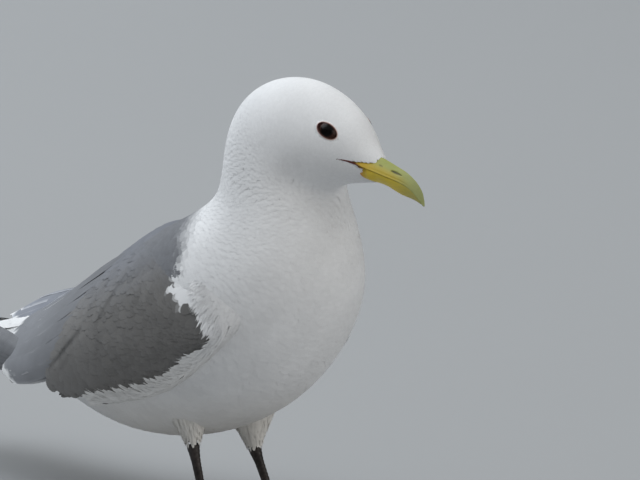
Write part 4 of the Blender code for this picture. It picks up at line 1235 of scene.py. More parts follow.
# the left wing's innermost long feathers lie in over the rump
CAP_X = (-70, -95, -115, -135, -155, -175, -195)
CAP_FAR = (105.0, 96.5, 89.5, 85.0, 79.0, 67.0, 61.5)
CAP_NEAR = (108.0, 95.0, 83.0, 73.5, 66.0, 62.5, 59.5)
CAP = np.array([[(x, 19.0, f - 8.0), (x, 14.5, f - 2.2), (x, 9.5, f), (x, 4.0, f - 0.16 * (f - n)), (x, -2.5, f - 0.50 * (f - n)), (x, -11.0, n - 4.5)]
                for x, f, n in zip(CAP_X, CAP_FAR, CAP_NEAR)], float)


def make_cap():
    fn = lambda u, v: cubic_net(CAP, u, v)
    surf = Surface(fn, _outward_sign(fn, .5, .5, np.array([0, -0.3, 1.0])))
    rng = np.random.default_rng(77)
    def grey(pos, a, b, rnd, u, v):
        # painted sky light: the cap's under feathers get a lighter, bluer grey than the near wing, standing in for the
        # sky light on their upturned faces
        c = C_GREY * np.array([1.0, 1.04, 1.13]) * 1.05
        return (c * (1 + 0.05 * rnd)[:, None])[:, None] + 0 * pos
    u, v = scatter(surf, 0.0, 0.60, 0.0, 0.97, lambda a, b, c, d: 8.0 / (15.0 * 8.0) + 0 * a, 78, 60, 40)
    n = len(u)
    under = tufts(surf, u, v, rng.uniform(14, 17, n), rng.uniform(7.5, 9, n), rng.normal(0, 0.06, n), -2.0, rng.uniform(-0.7, -0.3, n), 79, tmpl=T_BROAD, camber=0.012, kappa=0.16,
                  colour=grey, uv_box=(0, 1, 0, 1), power=0.45)
    coat("coat_cap_fill", under, M_GREY, "plumage_grey")
    specs = []
    for k, (tp, rt, hw, fringe) in enumerate((((0.620, 0.97), (0.08, 0.95), 6.0, 5.0), ((0.730, 0.82), (0.08, 0.80), 7.5, 5.0), ((0.805, 0.62), (0.08, 0.62), 7.5, 5.0), ((0.800, 0.44), (0.06, 0.46), 7.5, 3.4), ((0.712, 0.26), (0.04, 0.28), 8.0, 3.0))):
        pts = [(rt[0] + (tp[0] - rt[0]) * f, rt[1] + (tp[1] - rt[1]) * f) for f in (0, .25, .5, .75, 1)]
        def sky_lit_pale(A, B, P, fr=fringe, k=k):
            # painted sky light: the cap's long feathers are a lighter, bluer copy of the tertials' grey, for the sky
            # light on their upturned faces
            c = np.minimum(tertial_colour(fr, 85.0, 60 + k)(A, B, P) * np.array([1.15, 1.18, 1.26]), C_WHITE)
            w = smooth(0.80, 0.98, np.abs(B))[..., None] * 0.30 * smooth(0.45, 0.8, A)[..., None]
            return c * (1 - w) + C_WHITE * w
        specs.append(dict(path=curve_path(pts), half=half_profile(2 * hw, end=0.80), round=0.09,
                          lift=(lambda A, B, l=-0.25 + 0.26 * k, top=(k == 4): -1.2 * (1 - smooth(0, 0.3, A)) + l - 0.3 * B * B + top * 0.25 * smooth(0.5, 1.0, A)), colour=sky_lit_pale, seed=260 + k, len=85))
    coat("coat_tertials_over", blades(surf.frame, specs), M_GREY, "plumage_grey")


BLADE_LOW = np.array([(-122, -30, 49), (-150, -28, 48.5), (-200, -26, 51), (-245, -20, 54), (-277, -10, 56.5)], float)
BLADE_TOP = np.array([(-124, -20, 67), (-150, -13.5, 69.5), (-200, -9.5, 67), (-245, -7.5, 62), (-277, -8.5, 58.5)], float)


def blade_fn(side, lift):
    def fn(t, q):
        t, q = np.broadcast_arrays(np.asarray(t, float), np.asarray(q, float))
        lo, hi = cubic(BLADE_LOW, t), cubic(BLADE_TOP, t)
        p = lo + (hi - lo) * q[..., None]
        out = np.cross(np.broadcast_to([1.0, 0, 0], p.shape), hi - lo)
        out /= np.linalg.norm(out, axis=-1, keepdims=True) + 1e-9
        out = out * np.where(out[..., 1:2] > 0, -1, 1)
        bulge = 3.5 * np.minimum(1.0, 3.0 * (1.02 - t)) * np.clip(1 - (2 * q - 1) ** 2, 0, 1)
        p = p + out * (bulge + 1.2)[..., None]
        if side > 0:
            p = p * np.array([1, -1, 1])
        f = np.clip((-100 - p[..., 0]) / 60.0, 0, 1)
        p[..., 2] += lift * f * (1 - 0.35 * np.clip((-160 - p[..., 0]) / 115.0, 0, 1))
        return p
    return fn


def make_primaries(side):
    word = "right" if side < 0 else "left"
    fn = blade_fn(side, 0.0 if side < 0 else -5.5)
    surf = Surface(fn, _outward_sign(fn, .4, .5, np.array([0, side * 1.0, 0.1])))
    specs = []
    tips = (-277.0, -256.0, -237.0, -219.0, -202.0, -186.0)
    xs = np.linspace(0, 1, 200)
    xt = cubic(BLADE_LOW, xs)[:, 0]
    for k, tx in enumerate(tips):
        t1 = np.interp(-tx, -xt, xs)
        q0, q1 = 0.36 + 0.05 * k, (0.45, 0.66, 0.74, 0.78, 0.80, 0.82)[k]
        pts = [(0.0, q0), (t1 * 0.33, q0 + 0.02), (t1 * 0.66, 0.5 * (q0 + q1)), (t1, q1)]
        w = (15.5, 14.5, 13.0, 12.0, 11.0, 10.0)[k]
        def hw(a, w=w):
            return w * 0.5 * np.interp(a, [0, 0.3, 0.6, 0.8, 0.92, 1.0], [0.8, 1.0, 0.9, 0.70, 0.48, 0.22])
        def colour(A, B, P):
            g = smooth(-184, -200, P[..., 0] + 3 * B)
            dark = C_BLACK * (1 + 0.3 * wave_noise(P, 10.0, 2))[..., None]
            grey = C_GREY * 0.85 * (1 + 0.05 * wave_noise(P, 12.0, 3))[..., None]
            return grey * (1 - g)[..., None] + dark * g[..., None]
        def under(A, B, P):
            g = smooth(-196, -206, P[..., 0])[..., None]
            return C_WHITE * 0.8 * (1 - g) + C_BLACK * g
        specs.append(dict(path=curve_path(pts), half=hw, round=0.05, under=under,
                          lift=(lambda A, B, k=k: -0.7 + 0.34 * k - 0.35 * B * B), colour=colour, seed=300 + k, len=120))
    coat("coat_primaries_" + word, blades(surf.frame, specs, nr=34, nc=9, cols=3), M_BLACK, "plumage_black")


def tail_fn(u, v):
    """Upper face of the tail: u from the rump to the end, v across from -1 to 1."""
    u, v = np.broadcast_arrays(np.asarray(u, float), np.asarray(v, float))
    x = -140 - 113.0 * u
    half = np.interp(u, [0, 0.1, 0.3, 0.5, 0.7, 1.0], [13.5, 13.5, 14.5, 16.0, 18.0, 19.8])
    top = np.interp(-x, [134, 151, 170, 192, 216, 238, 253], [76.2, 71.5, 66.5, 60.5, 55.5, 51.8, 49.4])
    mid = np.interp(-x, [134, 151, 170, 192, 216, 238, 253], [61, 61, 60, 57, 53.4, 50.5, 48.5])
    z = top - (top - mid) * np.abs(v) ** 2.2 * 0.85
    return np.stack([x, v * half, z], -1)


def make_tail():
    surf = Surface(tail_fn, _outward_sign(tail_fn, .5, .1, np.array([0, 0, 1.0])))
    specs = []
    for k in range(6):
        for sgn in ((1, -1) if k else (1, -1)):
            f = (5 - k) + 0.5           # outermost first
            v0, v1 = sgn * f * 0.10, sgn * f * 0.158
            end = 0.985 - 0.035 * (1 - (f / 5.5) ** 2)
            specs.append(dict(path=curve_path([(0.05, v0), (0.35, v0 * .7 + v1 * .3), (0.66, v0 * .35 + v1 * .65), (end, v1)]),
                              half=half_profile(14.5, root=0.6, end=0.85), round=0.09,
                              lift=(lambda A, B, l=-1.3 + 0.22 * k + 0.05 * (sgn > 0): l - 0.2 * B * B - 3.0 * (1 - smooth(0.05, 0.42, A))), colour=white_colour, seed=400 + k, len=108))
    coat("coat_tail", blades(surf.frame, specs, nr=22, nc=7, cols=4), M_WHITE, "plumage_white")


# ---- the breast's and flank's white feathers run out over the wing's front and lower edge
APRON = ((-.040, .22), (-.030, .28), (-.012, .34), (.000, .40), (-.008, .46), (-.030, .52), (-.046, .58), (-.066, .65), (-.086, .72), (-.098, .80), (-.085, .88), (-.045, .96),
         (.020, 1.045), (.090, 1.085), (.160, 1.085), (.225, 1.075), (.285, 1.065), (.340, 1.060), (.395, 1.055))


def apron_net(side):
    """A patch from the body, just outside the wing's edge, up onto the wing: rows from body to wing."""
    surf = wing_r if side < 0 else wing_l
    uv = np.array(APRON)
    if side > 0:
        uv[:, 0] = np.maximum(uv[:, 0], 0.045)
    q, pu, pv, n = surf.frame(uv[:, 0], uv[:, 1])
    S, TH = np.meshgrid(np.linspace(0.15, 0.8, 420), np.linspace(0, 2 * pi, 420, endpoint=False), indexing='ij')
    bp = body_point(S, TH).reshape(-1, 3)
    t = KDTree(len(bp))
    for i, k in enumerate(bp):
        t.insert(k, i)
    t.balance()
    eu = -pu / np.linalg.norm(pu, axis=1, keepdims=True)
    ev = pv / np.linalg.norm(pv, axis=1, keepdims=True)
    k = np.arange(len(uv))
    turn = smooth(9.5, 13.5, k)[:, None]
    e = eu * (1 - turn) + ev * turn
    e /= np.linalg.norm(e, axis=1, keepdims=True)
    reach = np.interp(k, [0, 3, 8, 12, 15, 18], [16, 18, 21, 17, 13, 12])[:, None]
    rows = []
    B, NB_ = [], []
    for i in range(len(uv)):
        co, j, d = t.find(q[i] + e[i] * reach[i] - n[i] * 4.0)
        B.append(bp[j])
        _, _, _, nb = body_s.frame(np.array([S.ravel()[j]]), np.array([TH.ravel()[j]]))
        NB_.append(nb[0])
    B, NB_ = np.array(B), np.array(NB_)
    for _ in range(6):
        B[1:-1] = (B[:-2] + 2 * B[1:-1] + B[2:]) / 4
        NB_[1:-1] = (NB_[:-2] + 2 * NB_[1:-1] + NB_[2:]) / 4
    NB_ /= np.linalg.norm(NB_, axis=1, keepdims=True)
    W = q + n * 0.45
    D = W - B
    T0 = D - NB_ * np.sum(D * NB_, 1, keepdims=True)
    T1 = D - n * np.sum(D * n, 1, keepdims=True)
    dist = np.linalg.norm(D, axis=1, keepdims=True)
    T0 = T0 / (np.linalg.norm(T0, axis=1, keepdims=True) + 1e-9) * dist * 1.1
    T1 = T1 / (np.linalg.norm(T1, axis=1, keepdims=True) + 1e-9) * dist * 1.1
    for r in np.linspace(0, 1, 9):
        h00, h10, h01, h11 = 2 * r ** 3 - 3 * r ** 2 + 1, r ** 3 - 2 * r ** 2 + r, -2 * r ** 3 + 3 * r ** 2, r ** 3 - r ** 2
        rows.append((B - NB_ * 3.2) * h00 + T0 * h10 + W * h01 + T1 * h11)
    return np.array(rows), NB_


def make_fluff(side):
    surf = wing_r if side < 0 else wing_l
    word = "right" if side < 0 else "left"
    rng = np.random.default_rng(900 + side)
    parts = []
    def white(pos, a, b, rnd, u, v):
        m = pos.mean(1)
        # painted warm bounce: the white turns warmer low down, standing in for warm light bounced from below
        warm_bounce_paint = (smooth(100, 60, m[:, 2]) * 0.5)[:, None]
        return ((C_WHITE * (1 - warm_bounce_paint) + C_WARM_BOUNCE_WHITE * warm_bounce_paint) * (1 + 0.03 * rnd)[:, None])[:, None] + 0 * pos
    net, body_n = apron_net(side)
    fn = lambda a, b: cubic_net(net, a, b)
    ref = fn(np.array(0.5), np.array(0.5))
    ap = Surface(fn, _outward_sign(fn, .5, .5, np.array([0.3, side * 1.0, -0.1])))
    box = (0.0, 1.12, 0.0, 1.0)
    K = len(APRON) - 1
    # the sheet of feathers: straight down and back over the wrist, backwards along the flank
    def dens(U, V, P, N):
        return 8.0 / (7.6 * 2.5) + 0 * U
    r, q = scatter(ap, 0.0, 1.0, 0.0, 1.0, dens, 905 + side, 60, 160)
    n = len(r)
    roots = [(r, q)]
    lie = np.interp(q * K, [0, 3, 8, 11, 13, 18], [22, 34, 44, 52, 68, 82])
    L = np.interp(q * K, [0, 5, 11, 18], [6.4, 7.2, 8.4, 9.5]) * rng.uniform(0.85, 1.2, n)
    W = np.interp(q * K, [0, 5, 11, 18], [2.1, 2.2, 2.6, 3.2]) * rng.uniform(0.85, 1.15, n)
    parts.append(tufts(ap, r, q, L, W, radians(1) * lie + rng.normal(0, 0.10, n), -0.8, rng.uniform(0.0, 0.12, n), 906, tmpl=T_FINE, camber=0.010, kappa=0.12,
                       colour=white, uv_box=box, sway=0.06, power=0.32, rag=0.09))
    # finer filaments that break up its edge on the wing
    n = 520
    q = rng.uniform(0.02, 0.99, n)
    r = 1.0 + rng.uniform(-0.28, 0.08, n)
    roots.append((r, q))
    lie = np.interp(q * K, [0, 3, 8, 11, 13, 18], [26, 38, 50, 58, 68, 78])
    far = rng.uniform(0, 1, n) ** 3
    L = np.interp(q * K, [0, 5, 11, 18], [6.0, 7.0, 8.0, 8.5]) * (0.7 + 0.6 * far)
    W = rng.uniform(0.6, 1.4, n)
    parts.append(tufts(ap, np.minimum(r, 1.12), q, L, W, radians(1) * lie + rng.normal(0, 0.17, n), -0.15, rng.uniform(0.15, 0.6, n), 907, tmpl=T_STRAND, camber=0.01, kappa=0.15,
                       colour=white, uv_box=box, sway=0.14, power=0.8, rag=0.25))
    # the sheet takes the light like the breast it grows from, turning to the wing's at its end
    for part, (r, q) in zip(parts, roots):
        m = len(part["n"]) // len(r)
        kk = np.repeat(q * K, m)
        bn = np.stack([np.interp(kk, np.arange(K + 1), body_n[:, c]) for c in range(3)], -1)
        w = np.repeat(0.75 * (1 - smooth(0.75, 1.15, r)), m)[:, None]
        nn = part["n"] * (1 - w) + bn * w
        part["n"] = nn / np.linalg.norm(nn, axis=1, keepdims=True)
    coat("coat_flank_" + word, joined(*parts), M_WHITE, "plumage_white")


# =====================================================================================
# Bill
# =====================================================================================
CULMEN = ((78, 176.0), (86, 174.6), (92.8, 173.2), (97, 171.8), (100.8, 170.4), (104.5, 169.1), (107.6, 167.6), (110.2, 165.9), (112.3, 164.1), (114.0, 162.1), (115.1, 160.2), (115.8, 157.2))
CUTTING = ((78, 171.6), (84, 170.8), (86.4, 170.1), (89.2, 169.0), (93.5, 167.6), (97.8, 166.3), (104, 164.6), (108.2, 162.8), (111.0, 160.6), (113.5, 157.6), (115.8, 154.8))
UNDER = ((78, 164.8), (85, 163.6), (90, 162.6), (93.2, 161.9), (96.4, 161.1), (100, 159.6), (103, 158.6), (106, 158.0), (109, 157.4), (111, 156.8), (113.4, 155.9), (114.4, 155.5))
HALF_WIDTH = ((78, 8.6), (82, 9.0), (84, 9.2), (88, 7.8), (92, 6.5), (96, 5.5), (100, 4.7), (104, 3.8), (108, 2.8), (111, 2.0), (113.5, 1.3), (115.8, 0.5))


def eased(pairs, x, reach=1.6):
    """The table read with its corners eased over a short reach."""
    tot, ws = 0, 0
    for k in np.linspace(-1, 1, 9):
        w = 1 - abs(k) * 0.8
        xx = np.asarray(x) + k * reach * np.clip((116.2 - np.asarray(x)) / 6.0, 0.12, 1)
        tot = tot + w * table(pairs, xx)
        ws += w
    return tot / ws


def horn(name, rough, coat_weight):
    m = bpy.data.materials.new(name)
    m.use_nodes = True
    nt = m.node_tree
    N = nt.nodes
    b = N["Principled BSDF"]
    b.inputs["Roughness"].default_value = rough
    b.inputs["Coat Weight"].default_value = coat_weight
    b.inputs["Coat Roughness"].default_value = 0.25
    b.inputs["Specular IOR Level"].default_value = 0.28
    at = N.new("ShaderNodeAttribute")
    at.attribute_name = "Tint"
    tc = N.new("ShaderNodeTexCoord")
    mp = N.new("ShaderNodeMapping")
    mp.inputs["Scale"].default_value = (0.35, 1.0, 1.4)
    noise = N.new("ShaderNodeTexNoise")
    noise.inputs["Scale"].default_value = 900.0
    noise.inputs["Detail"].default_value = 5.0
    mr = N.new("ShaderNodeMapRange")
    mr.inputs["To Min"].default_value = 0.86
    mr.inputs["To Max"].default_value = 1.10
    sc = N.new("ShaderNodeVectorMath")
    sc.operation = 'SCALE'
    bp = N.new("ShaderNodeBump")
    bp.inputs["Strength"].default_value = 0.18
    bp.inputs["Distance"].default_value = 0.0002
    rr = N.new("ShaderNodeMapRange")
    rr.inputs["To Min"].default_value = rough - 0.06
    rr.inputs["To Max"].default_value = rough + 0.10
    links(nt, (tc.outputs["Object"], mp.inputs["Vector"]), (mp.outputs["Vector"], noise.inputs["Vector"]), (noise.outputs["Fac"], mr.inputs["Value"]),
          (at.outputs["Color"], sc.inputs[0]), (mr.outputs["Result"], sc.inputs["Scale"]), (sc.outputs["Vector"], b.inputs["Base Color"]),
          (noise.outputs["Fac"], bp.inputs["Height"]), (bp.outputs["Normal"], b.inputs["Normal"]),
          (noise.outputs["Fac"], rr.inputs["Value"]), (rr.outputs["Result"], b.inputs["Roughness"]))
    return m


M_BILL = horn("bill_horn", 0.42, 0.04)
M_LID = horn("eyelid", 0.45, 0.25)
M_LEG = horn("leg_scale", 0.48, 0.10)
M_CLAW = horn("claw_horn", 0.32, 0.25)

TIP_GREEN = np.array([0.33, 0.350, 0.140])
TOP_GREEN = np.array([0.31, 0.335, 0.080])
SIDE_OCHRE = np.array([0.56, 0.43, 0.045])
BASE_ORANGE = np.array([0.52, 0.33, 0.022])
PINK = np.array([0.55, 0.17, 0.11])
GAPE_RED = np.array([0.11, 0.018, 0.016])
NOSTRIL = (np.array([99.3, 168.8]), np.array([104.4, 167.2]))
NOSTRIL2 = (np.array([93.0, 170.9]), np.array([94.9, 170.2]))


def slit_distance(x, z, seg):
    d = seg[1] - seg[0]
    t = np.clip(((x - seg[0][0]) * d[0] + (z - seg[0][1]) * d[1]) / (d @ d), 0, 1)
    # pointed at both ends, widest behind the middle
    wide = 0.30 + 0.70 * np.clip(np.sin(pi * np.clip(t, 0.0, 1.0) ** 0.8), 0, 1)
    return np.hypot(x - seg[0][0] - d[0] * t, z - seg[0][1] - d[1] * t) / wide, t


def bill_colour(p, upper):
    x, y, z = p[..., 0], np.abs(p[..., 1]), p[..., 2]
    cut, top, low = eased(CUTTING, x), eased(CULMEN, x), eased(UNDER, x)
    if upper:
        h = np.clip((z - cut) / np.maximum(top - cut, 0.5), 0, 1)
    else:
        h = np.clip((z - low) / np.maximum(cut - low, 0.5), 0, 1)
    tip = smooth(99, 112, x)[..., None]
    if upper:
        side = SIDE_OCHRE * 0.78 * (1 - smooth(0.25, 0.75, h))[..., None] + TOP_GREEN * smooth(0.25, 0.75, h)[..., None]
    else:
        # painted light: the lower mandible gets a lighter copy of the ochre than the upper's sides, offsetting the
        # shade it lies in
        side = SIDE_OCHRE * 1.30 + 0 * h[..., None]
        tip = tip * 0.6
    col = side * (1 - tip) + TIP_GREEN * tip
    base = smooth(94, 84, x)[..., None] * (1 - h if upper else h)[..., None] ** 0.5
    col = col * (1 - base) + BASE_ORANGE * base
    if not upper:
        pink = (smooth(87.6, 85.2, x) * smooth(0.95, 0.7, h))[..., None] * 0.55
        col = col * (1 - pink) + PINK * pink
    edge = np.clip(1 - np.abs(z - cut) / 0.40, 0, 1)[..., None] * smooth(110, 104, x)[..., None]
    col = col * (1 - 0.22 * edge * (1 - smooth(84, 82, x))[..., None])
    gape = (np.clip(1 - np.abs(z - cut) / 0.7, 0, 1) * smooth(87.0, 84.5, x))[..., None]
    col = col * (1 - gape) + GAPE_RED * gape
    if upper:
        # painted shade: the nostril slits are darkened for the shade inside their openings, which are dug only
        # shallowly
        d, t = slit_distance(x, z, NOSTRIL)
        dark = smooth(0.52, 0.16, d) * smooth(0.4, 1.6, y) * (1 - 0.25 * t)
        d2, _ = slit_distance(x, z, NOSTRIL2)
        dark = np.maximum(dark, 0.5 * smooth(0.40, 0.1, d2) * smooth(0.4, 1.6, y))
        col = col * (1 - dark[..., None]) + np.array([0.035, 0.032, 0.012]) * dark[..., None]
        halo = smooth(1.5, 0.6, d)[..., None] * 0.10 * (1 - dark[..., None])
        col = col * (1 - halo) + TIP_GREEN * 0.8 * halo
    return col


def make_bill():
    nx, nr = 150, 64
    q = np.linspace(0, 1, nx)
    xs = 78 + (115.85 - 78) * (1 - (1 - q) ** 1.25)
    for upper in (True, False):
        end = 115.85 if upper else 114.3
        x = 78 + (xs - 78) * (end - 78) / (115.85 - 78)
        cut = eased(CUTTING, x)
        w = eased(HALF_WIDTH, x)
        a = np.linspace(0, pi, nr)
        if upper:
            top = np.maximum(eased(CULMEN, x), cut + 0.7)
            body = np.stack([np.broadcast_to(x[:, None], (nx, nr)), w[:, None] * (np.sign(np.cos(a)) * (1 - np.sin(a) ** 1.25).clip(0, 1) ** 0.85)[None],
                             cut[:, None] + (top - cut)[:, None] * np.sin(a)[None]], -1)
            # palate
            f = np.linspace(-1, 1, 14)[1:-1]
            inner = np.stack([np.broadcast_to(x[:, None], (nx, 12)), w[:, None] * f[None] * 0.98, cut[:, None] + (0.18 * (top - cut))[:, None] * (1 - f ** 2)[None] ** 0.5], -1)
            d, t = slit_distance(body[..., 0], body[..., 2], NOSTRIL)
            dig = 0.34 * smooth(0.75, 0.10, d) * smooth(0.4, 1.4, np.abs(body[..., 1]))
            d2, _ = slit_distance(body[..., 0], body[..., 2], NOSTRIL2)
            dig = dig + 0.08 * smooth(0.6, 0.15, d2) * smooth(0.4, 1.4, np.abs(body[..., 1]))
            body[..., 1] -= np.sign(body[..., 1]) * dig
            # a faint furrow above the cutting edge and a fold beside the nostril
            hh = (body[..., 2] - cut[:, None]) / np.maximum((top - cut)[:, None], 0.5)
            fur = 0.16 * np.exp(-((hh - 0.16) / 0.07) ** 2) * smooth(112, 104, body[..., 0])
            body[..., 1] -= np.sign(body[..., 1]) * fur
        else:
            high = cut - 0.07
            low = np.minimum(eased(UNDER, x), high - 0.8)
            root = smooth(93.5, 86.5, x)[:, None]
            w = w * 0.975 - 1.25 * smooth(89.6, 87.2, x)
            sn = np.sin(a)[None]
            body = np.stack([np.broadcast_to(x[:, None], (nx, nr)), -w[:, None] * np.sign(np.cos(a))[None] * (1 - sn ** (1.6 + 2.2 * root)).clip(0, 1) ** (0.8 - 0.28 * root),
                             high[:, None] - (high - low)[:, None] * np.sin(a)[None]], -1)
            f = np.linspace(1, -1, 14)[1:-1]
            inner = np.stack([np.broadcast_to(x[:, None], (nx, 12)), w[:, None] * f[None] * 0.98, high[:, None] - (0.12 * (high - low))[:, None] * (1 - f ** 2)[None] ** 0.5], -1)
        # close the tip: last rings shrink towards their middle
        rings = np.concatenate([body, inner], 1)
        k = np.clip((q - 0.965) / 0.035, 0, 1)
        sc = np.sqrt(np.clip(1 - k ** 2 * 0.9, 0, 1))
        mid = rings.mean(1, keepdims=True)
        rings[..., 1] = mid[..., 1] + (rings[..., 1] - mid[..., 1]) * sc[:, None]
        v, f = loft_shell(rings)
        v = np.array(v)
        col = bill_colour(v, upper)
        me = bpy.data.meshes.new("horn")
        name = "bill_upper_horn" if upper else "bill_lower_horn"
        me.from_pydata(world(turn_head(v)).tolist(), [], f)
        import bmesh
        bm = bmesh.new(); bm.from_mesh(me); bmesh.ops.recalc_face_normals(bm, faces=bm.faces); bm.to_mesh(me); bm.free()
        me.polygons.foreach_set("use_smooth", np.ones(len(me.polygons), bool))
        at = me.attributes.new("Tint", "FLOAT_COLOR", "POINT")
        c = np.ones((len(v), 4), np.float32); c[:, :3] = col
        at.data.foreach_set("color", c.ravel())
        me.materials.append(M_BILL)
        ob = bpy.data.objects.new(name, me)
        bpy.context.scene.collection.objects.link(ob)
        piece(ob, "bill", "bill_upper" if upper else "bill_lower")


def tinted(name, v, f, col, mat, slot, *replaced, smooth_shade=True):
    """A mesh from drawing millimetres with per-vertex tint."""
    import bmesh
    me = bpy.data.meshes.new(name)
    me.from_pydata(world(np.asarray(v)).tolist(), [], [tuple(int(i) for i in q) for q in f])
    bm = bmesh.new(); bm.from_mesh(me); bmesh.ops.recalc_face_normals(bm, faces=bm.faces); bm.to_mesh(me); bm.free()
    me.polygons.foreach_set("use_smooth", np.full(len(me.polygons), smooth_shade))
    at = me.attributes.new("Tint", "FLOAT_COLOR", "POINT")
    c = np.ones((len(v), 4), np.float32); c[:, :3] = np.clip(col, 0, 1)
    at.data.foreach_set("color", c.ravel())
    me.materials.append(mat)
    ob = bpy.data.objects.new(name, me)
    bpy.context.scene.collection.objects.link(ob)
    return piece(ob, slot, *replaced)


def head_tree():
    from mathutils.bvhtree import BVHTree
    s = np.linspace(0, 10.0 / NB, 180)
    th = np.linspace(0, 2 * pi, 180, endpoint=False)
    g = unturn_head(body_point(s[:, None], th[None, :]))
    m, n = g.shape[:2]
    faces = [(i * n + j, i * n + (j + 1) % n, (i + 1) * n + (j + 1) % n, (i + 1) * n + j) for i in range(m - 1) for j in range(n)]
    return BVHTree.FromPolygons([Vector(q) for q in g.reshape(-1, 3)], faces)


HEAD = head_tree()


def on_head(p, n, back=0.0):
    """The head's outer form seen from outside along -n, sunk by back."""
    hit = HEAD.ray_cast(Vector(p + n * 12), Vector(-n), 40)
    if hit[0] is None:
        return p - n * back
    return np.array(hit[0]) - n * back


# =====================================================================================
# Eyes and lids
# =====================================================================================
def make_eye(side):
    word = "right" if side < 0 else "left"
    E, n, t1, t2 = eye_frame(side)
    c = E - n * EYE_SINK
    rows, seg = 48, 72
    v, col = [], []
    for i in range(rows + 1):
        a = pi * i / rows
        for j in range(seg):
            b = 2 * pi * j / seg
            r = EYE_R - 0.05
            # the cornea stands a little above the ball
            bulge = 0.28 * exp(-(a / 0.55) ** 2)
            # behind the lids the ball falls away from the face
            e = sqrt((r * sin(a) * cos(b) / 5.15) ** 2 + (r * sin(a) * sin(b) / 3.15) ** 2)
            back = min(1.6, 2.6 * max(0.0, e - 1.0)) if a < pi / 2 else 1.6
            v.append(c + (n * cos(a) + (t1 * cos(b) + t2 * sin(b)) * sin(a)) * (r + bulge) - n * back)
            rho = r * sin(a) if a < pi / 2 else 9
            fib = 0.5 + 0.5 * sin(b * 41 + 3 * sin(b * 7))
            iris = np.array([0.030, 0.011, 0.007]) * (0.75 + 0.5 * fib)
            pup = float(smooth(2.9, 2.5, rho))
            lim = float(smooth(4.6, 5.4, rho))
            k = iris * (1 - lim) + np.array([0.012, 0.006, 0.006]) * lim
            col.append(k * (1 - pup) + np.array([0.0015, 0.0012, 0.0012]) * pup)
    f = [(i * seg + j, i * seg + (j + 1) % seg, (i + 1) * seg + (j + 1) % seg, (i + 1) * seg + j) for i in range(rows) for j in range(seg)]
    v = turn_head(np.array(v))
    ob = tinted("eyeball_" + word, v, f, np.array(col), M_EYE, "eye", "eye_" + word)
    # merge the poles
    import bmesh
    bm = bmesh.new(); bm.from_mesh(ob.data); bmesh.ops.remove_doubles(bm, verts=bm.verts, dist=1e-7); bm.to_mesh(ob.data); bm.free()
    # lids: from inside the opening over a rounded rim out into the face
    m = 96
    ang = np.linspace(0, 2 * pi, m, endpoint=False)
    ca, sa = np.cos(ang), np.sin(ang)
    # the opening is an oval with slightly drawn-out corners
    ox = 4.62 * np.sign(ca) * np.abs(ca) ** 0.93
    oy = 2.62 * np.sign(sa) * np.abs(sa) ** 1.06
    rings, cols = [], []
    maroon, brown = np.array([0.050, 0.010, 0.012]), np.array([0.070, 0.026, 0.012])
    skin = np.array([0.52, 0.35, 0.31])
    plan = [(-0.30, -0.5, 0), (-0.10, -0.02, 0), (0.00, 0.14, 0), (0.12, 0.22, 0), (0.26, 0.23, 0.0), (0.38, 0.20, 0.25), (0.48, 0.16, 0.8), (0.62, 0.10, 1.3), (0.9, -0.02, 2), (1.4, -0.15, 2), (2.2, -0.30, 2), (3.2, -0.6, 2), (4.2, -1.2, 2)]
    mixc = (ca * -0.5 + 0.5)[:, None]
    for out, lift, tone in plan:
        x, y = ox + ca * out * 1.05, oy + sa * out
        ring = []
        for i in range(m):
            base = E + t1 * x[i] + t2 * y[i]
            r2 = x[i] ** 2 + y[i] ** 2
            ball_h = sqrt(max(0.5, EYE_R ** 2 - r2)) - EYE_SINK
            face_h = float((on_head(base, n, 0.0) - E) @ n)
            k = float(smooth(0.0, 0.45, out))
            top_h = 0.5 * (ball_h + face_h + sqrt((ball_h - face_h) ** 2 + 0.02))
            far = float(smooth(0.55, 1.6, out))
            top_h = top_h * (1 - far) + face_h * far
            ring.append(base + n * (ball_h * (1 - k) + top_h * k + lift))
        rings.append(ring)
        dark = maroon * mixc + brown * (1 - mixc)
        cols.append(dark * (1 - min(tone, 1)) + skin * min(tone, 1) if tone <= 1 else skin * (2 - tone) + C_WHITE * 0.92 * (tone - 1) + 0 * dark)
    rings = np.array(rings)
    K = len(plan)
    f = [(i * m + j, i * m + (j + 1) % m, (i + 1) * m + (j + 1) % m, (i + 1) * m + j) for i in range(K - 1) for j in range(m)]
    tinted("eyelid_" + word, turn_head(rings.reshape(-1, 3)), f, np.concatenate(cols), M_LID, "eye")


M_EYE = bpy.data.materials.new("eye_gloss")
M_EYE.use_nodes = True
_b = M_EYE.node_tree.nodes["Principled BSDF"]
_b.inputs["Roughness"].default_value = 0.26
_b.inputs["Specular IOR Level"].default_value = 0.10
_b.inputs["Coat Weight"].default_value = 0.03
_b.inputs["Coat Roughness"].default_value = 0.08
_a = M_EYE.node_tree.nodes.new("ShaderNodeAttribute")
_a.attribute_name = "Tint"
M_EYE.node_tree.links.new(_a.outputs["Color"], _b.inputs["Base Color"])


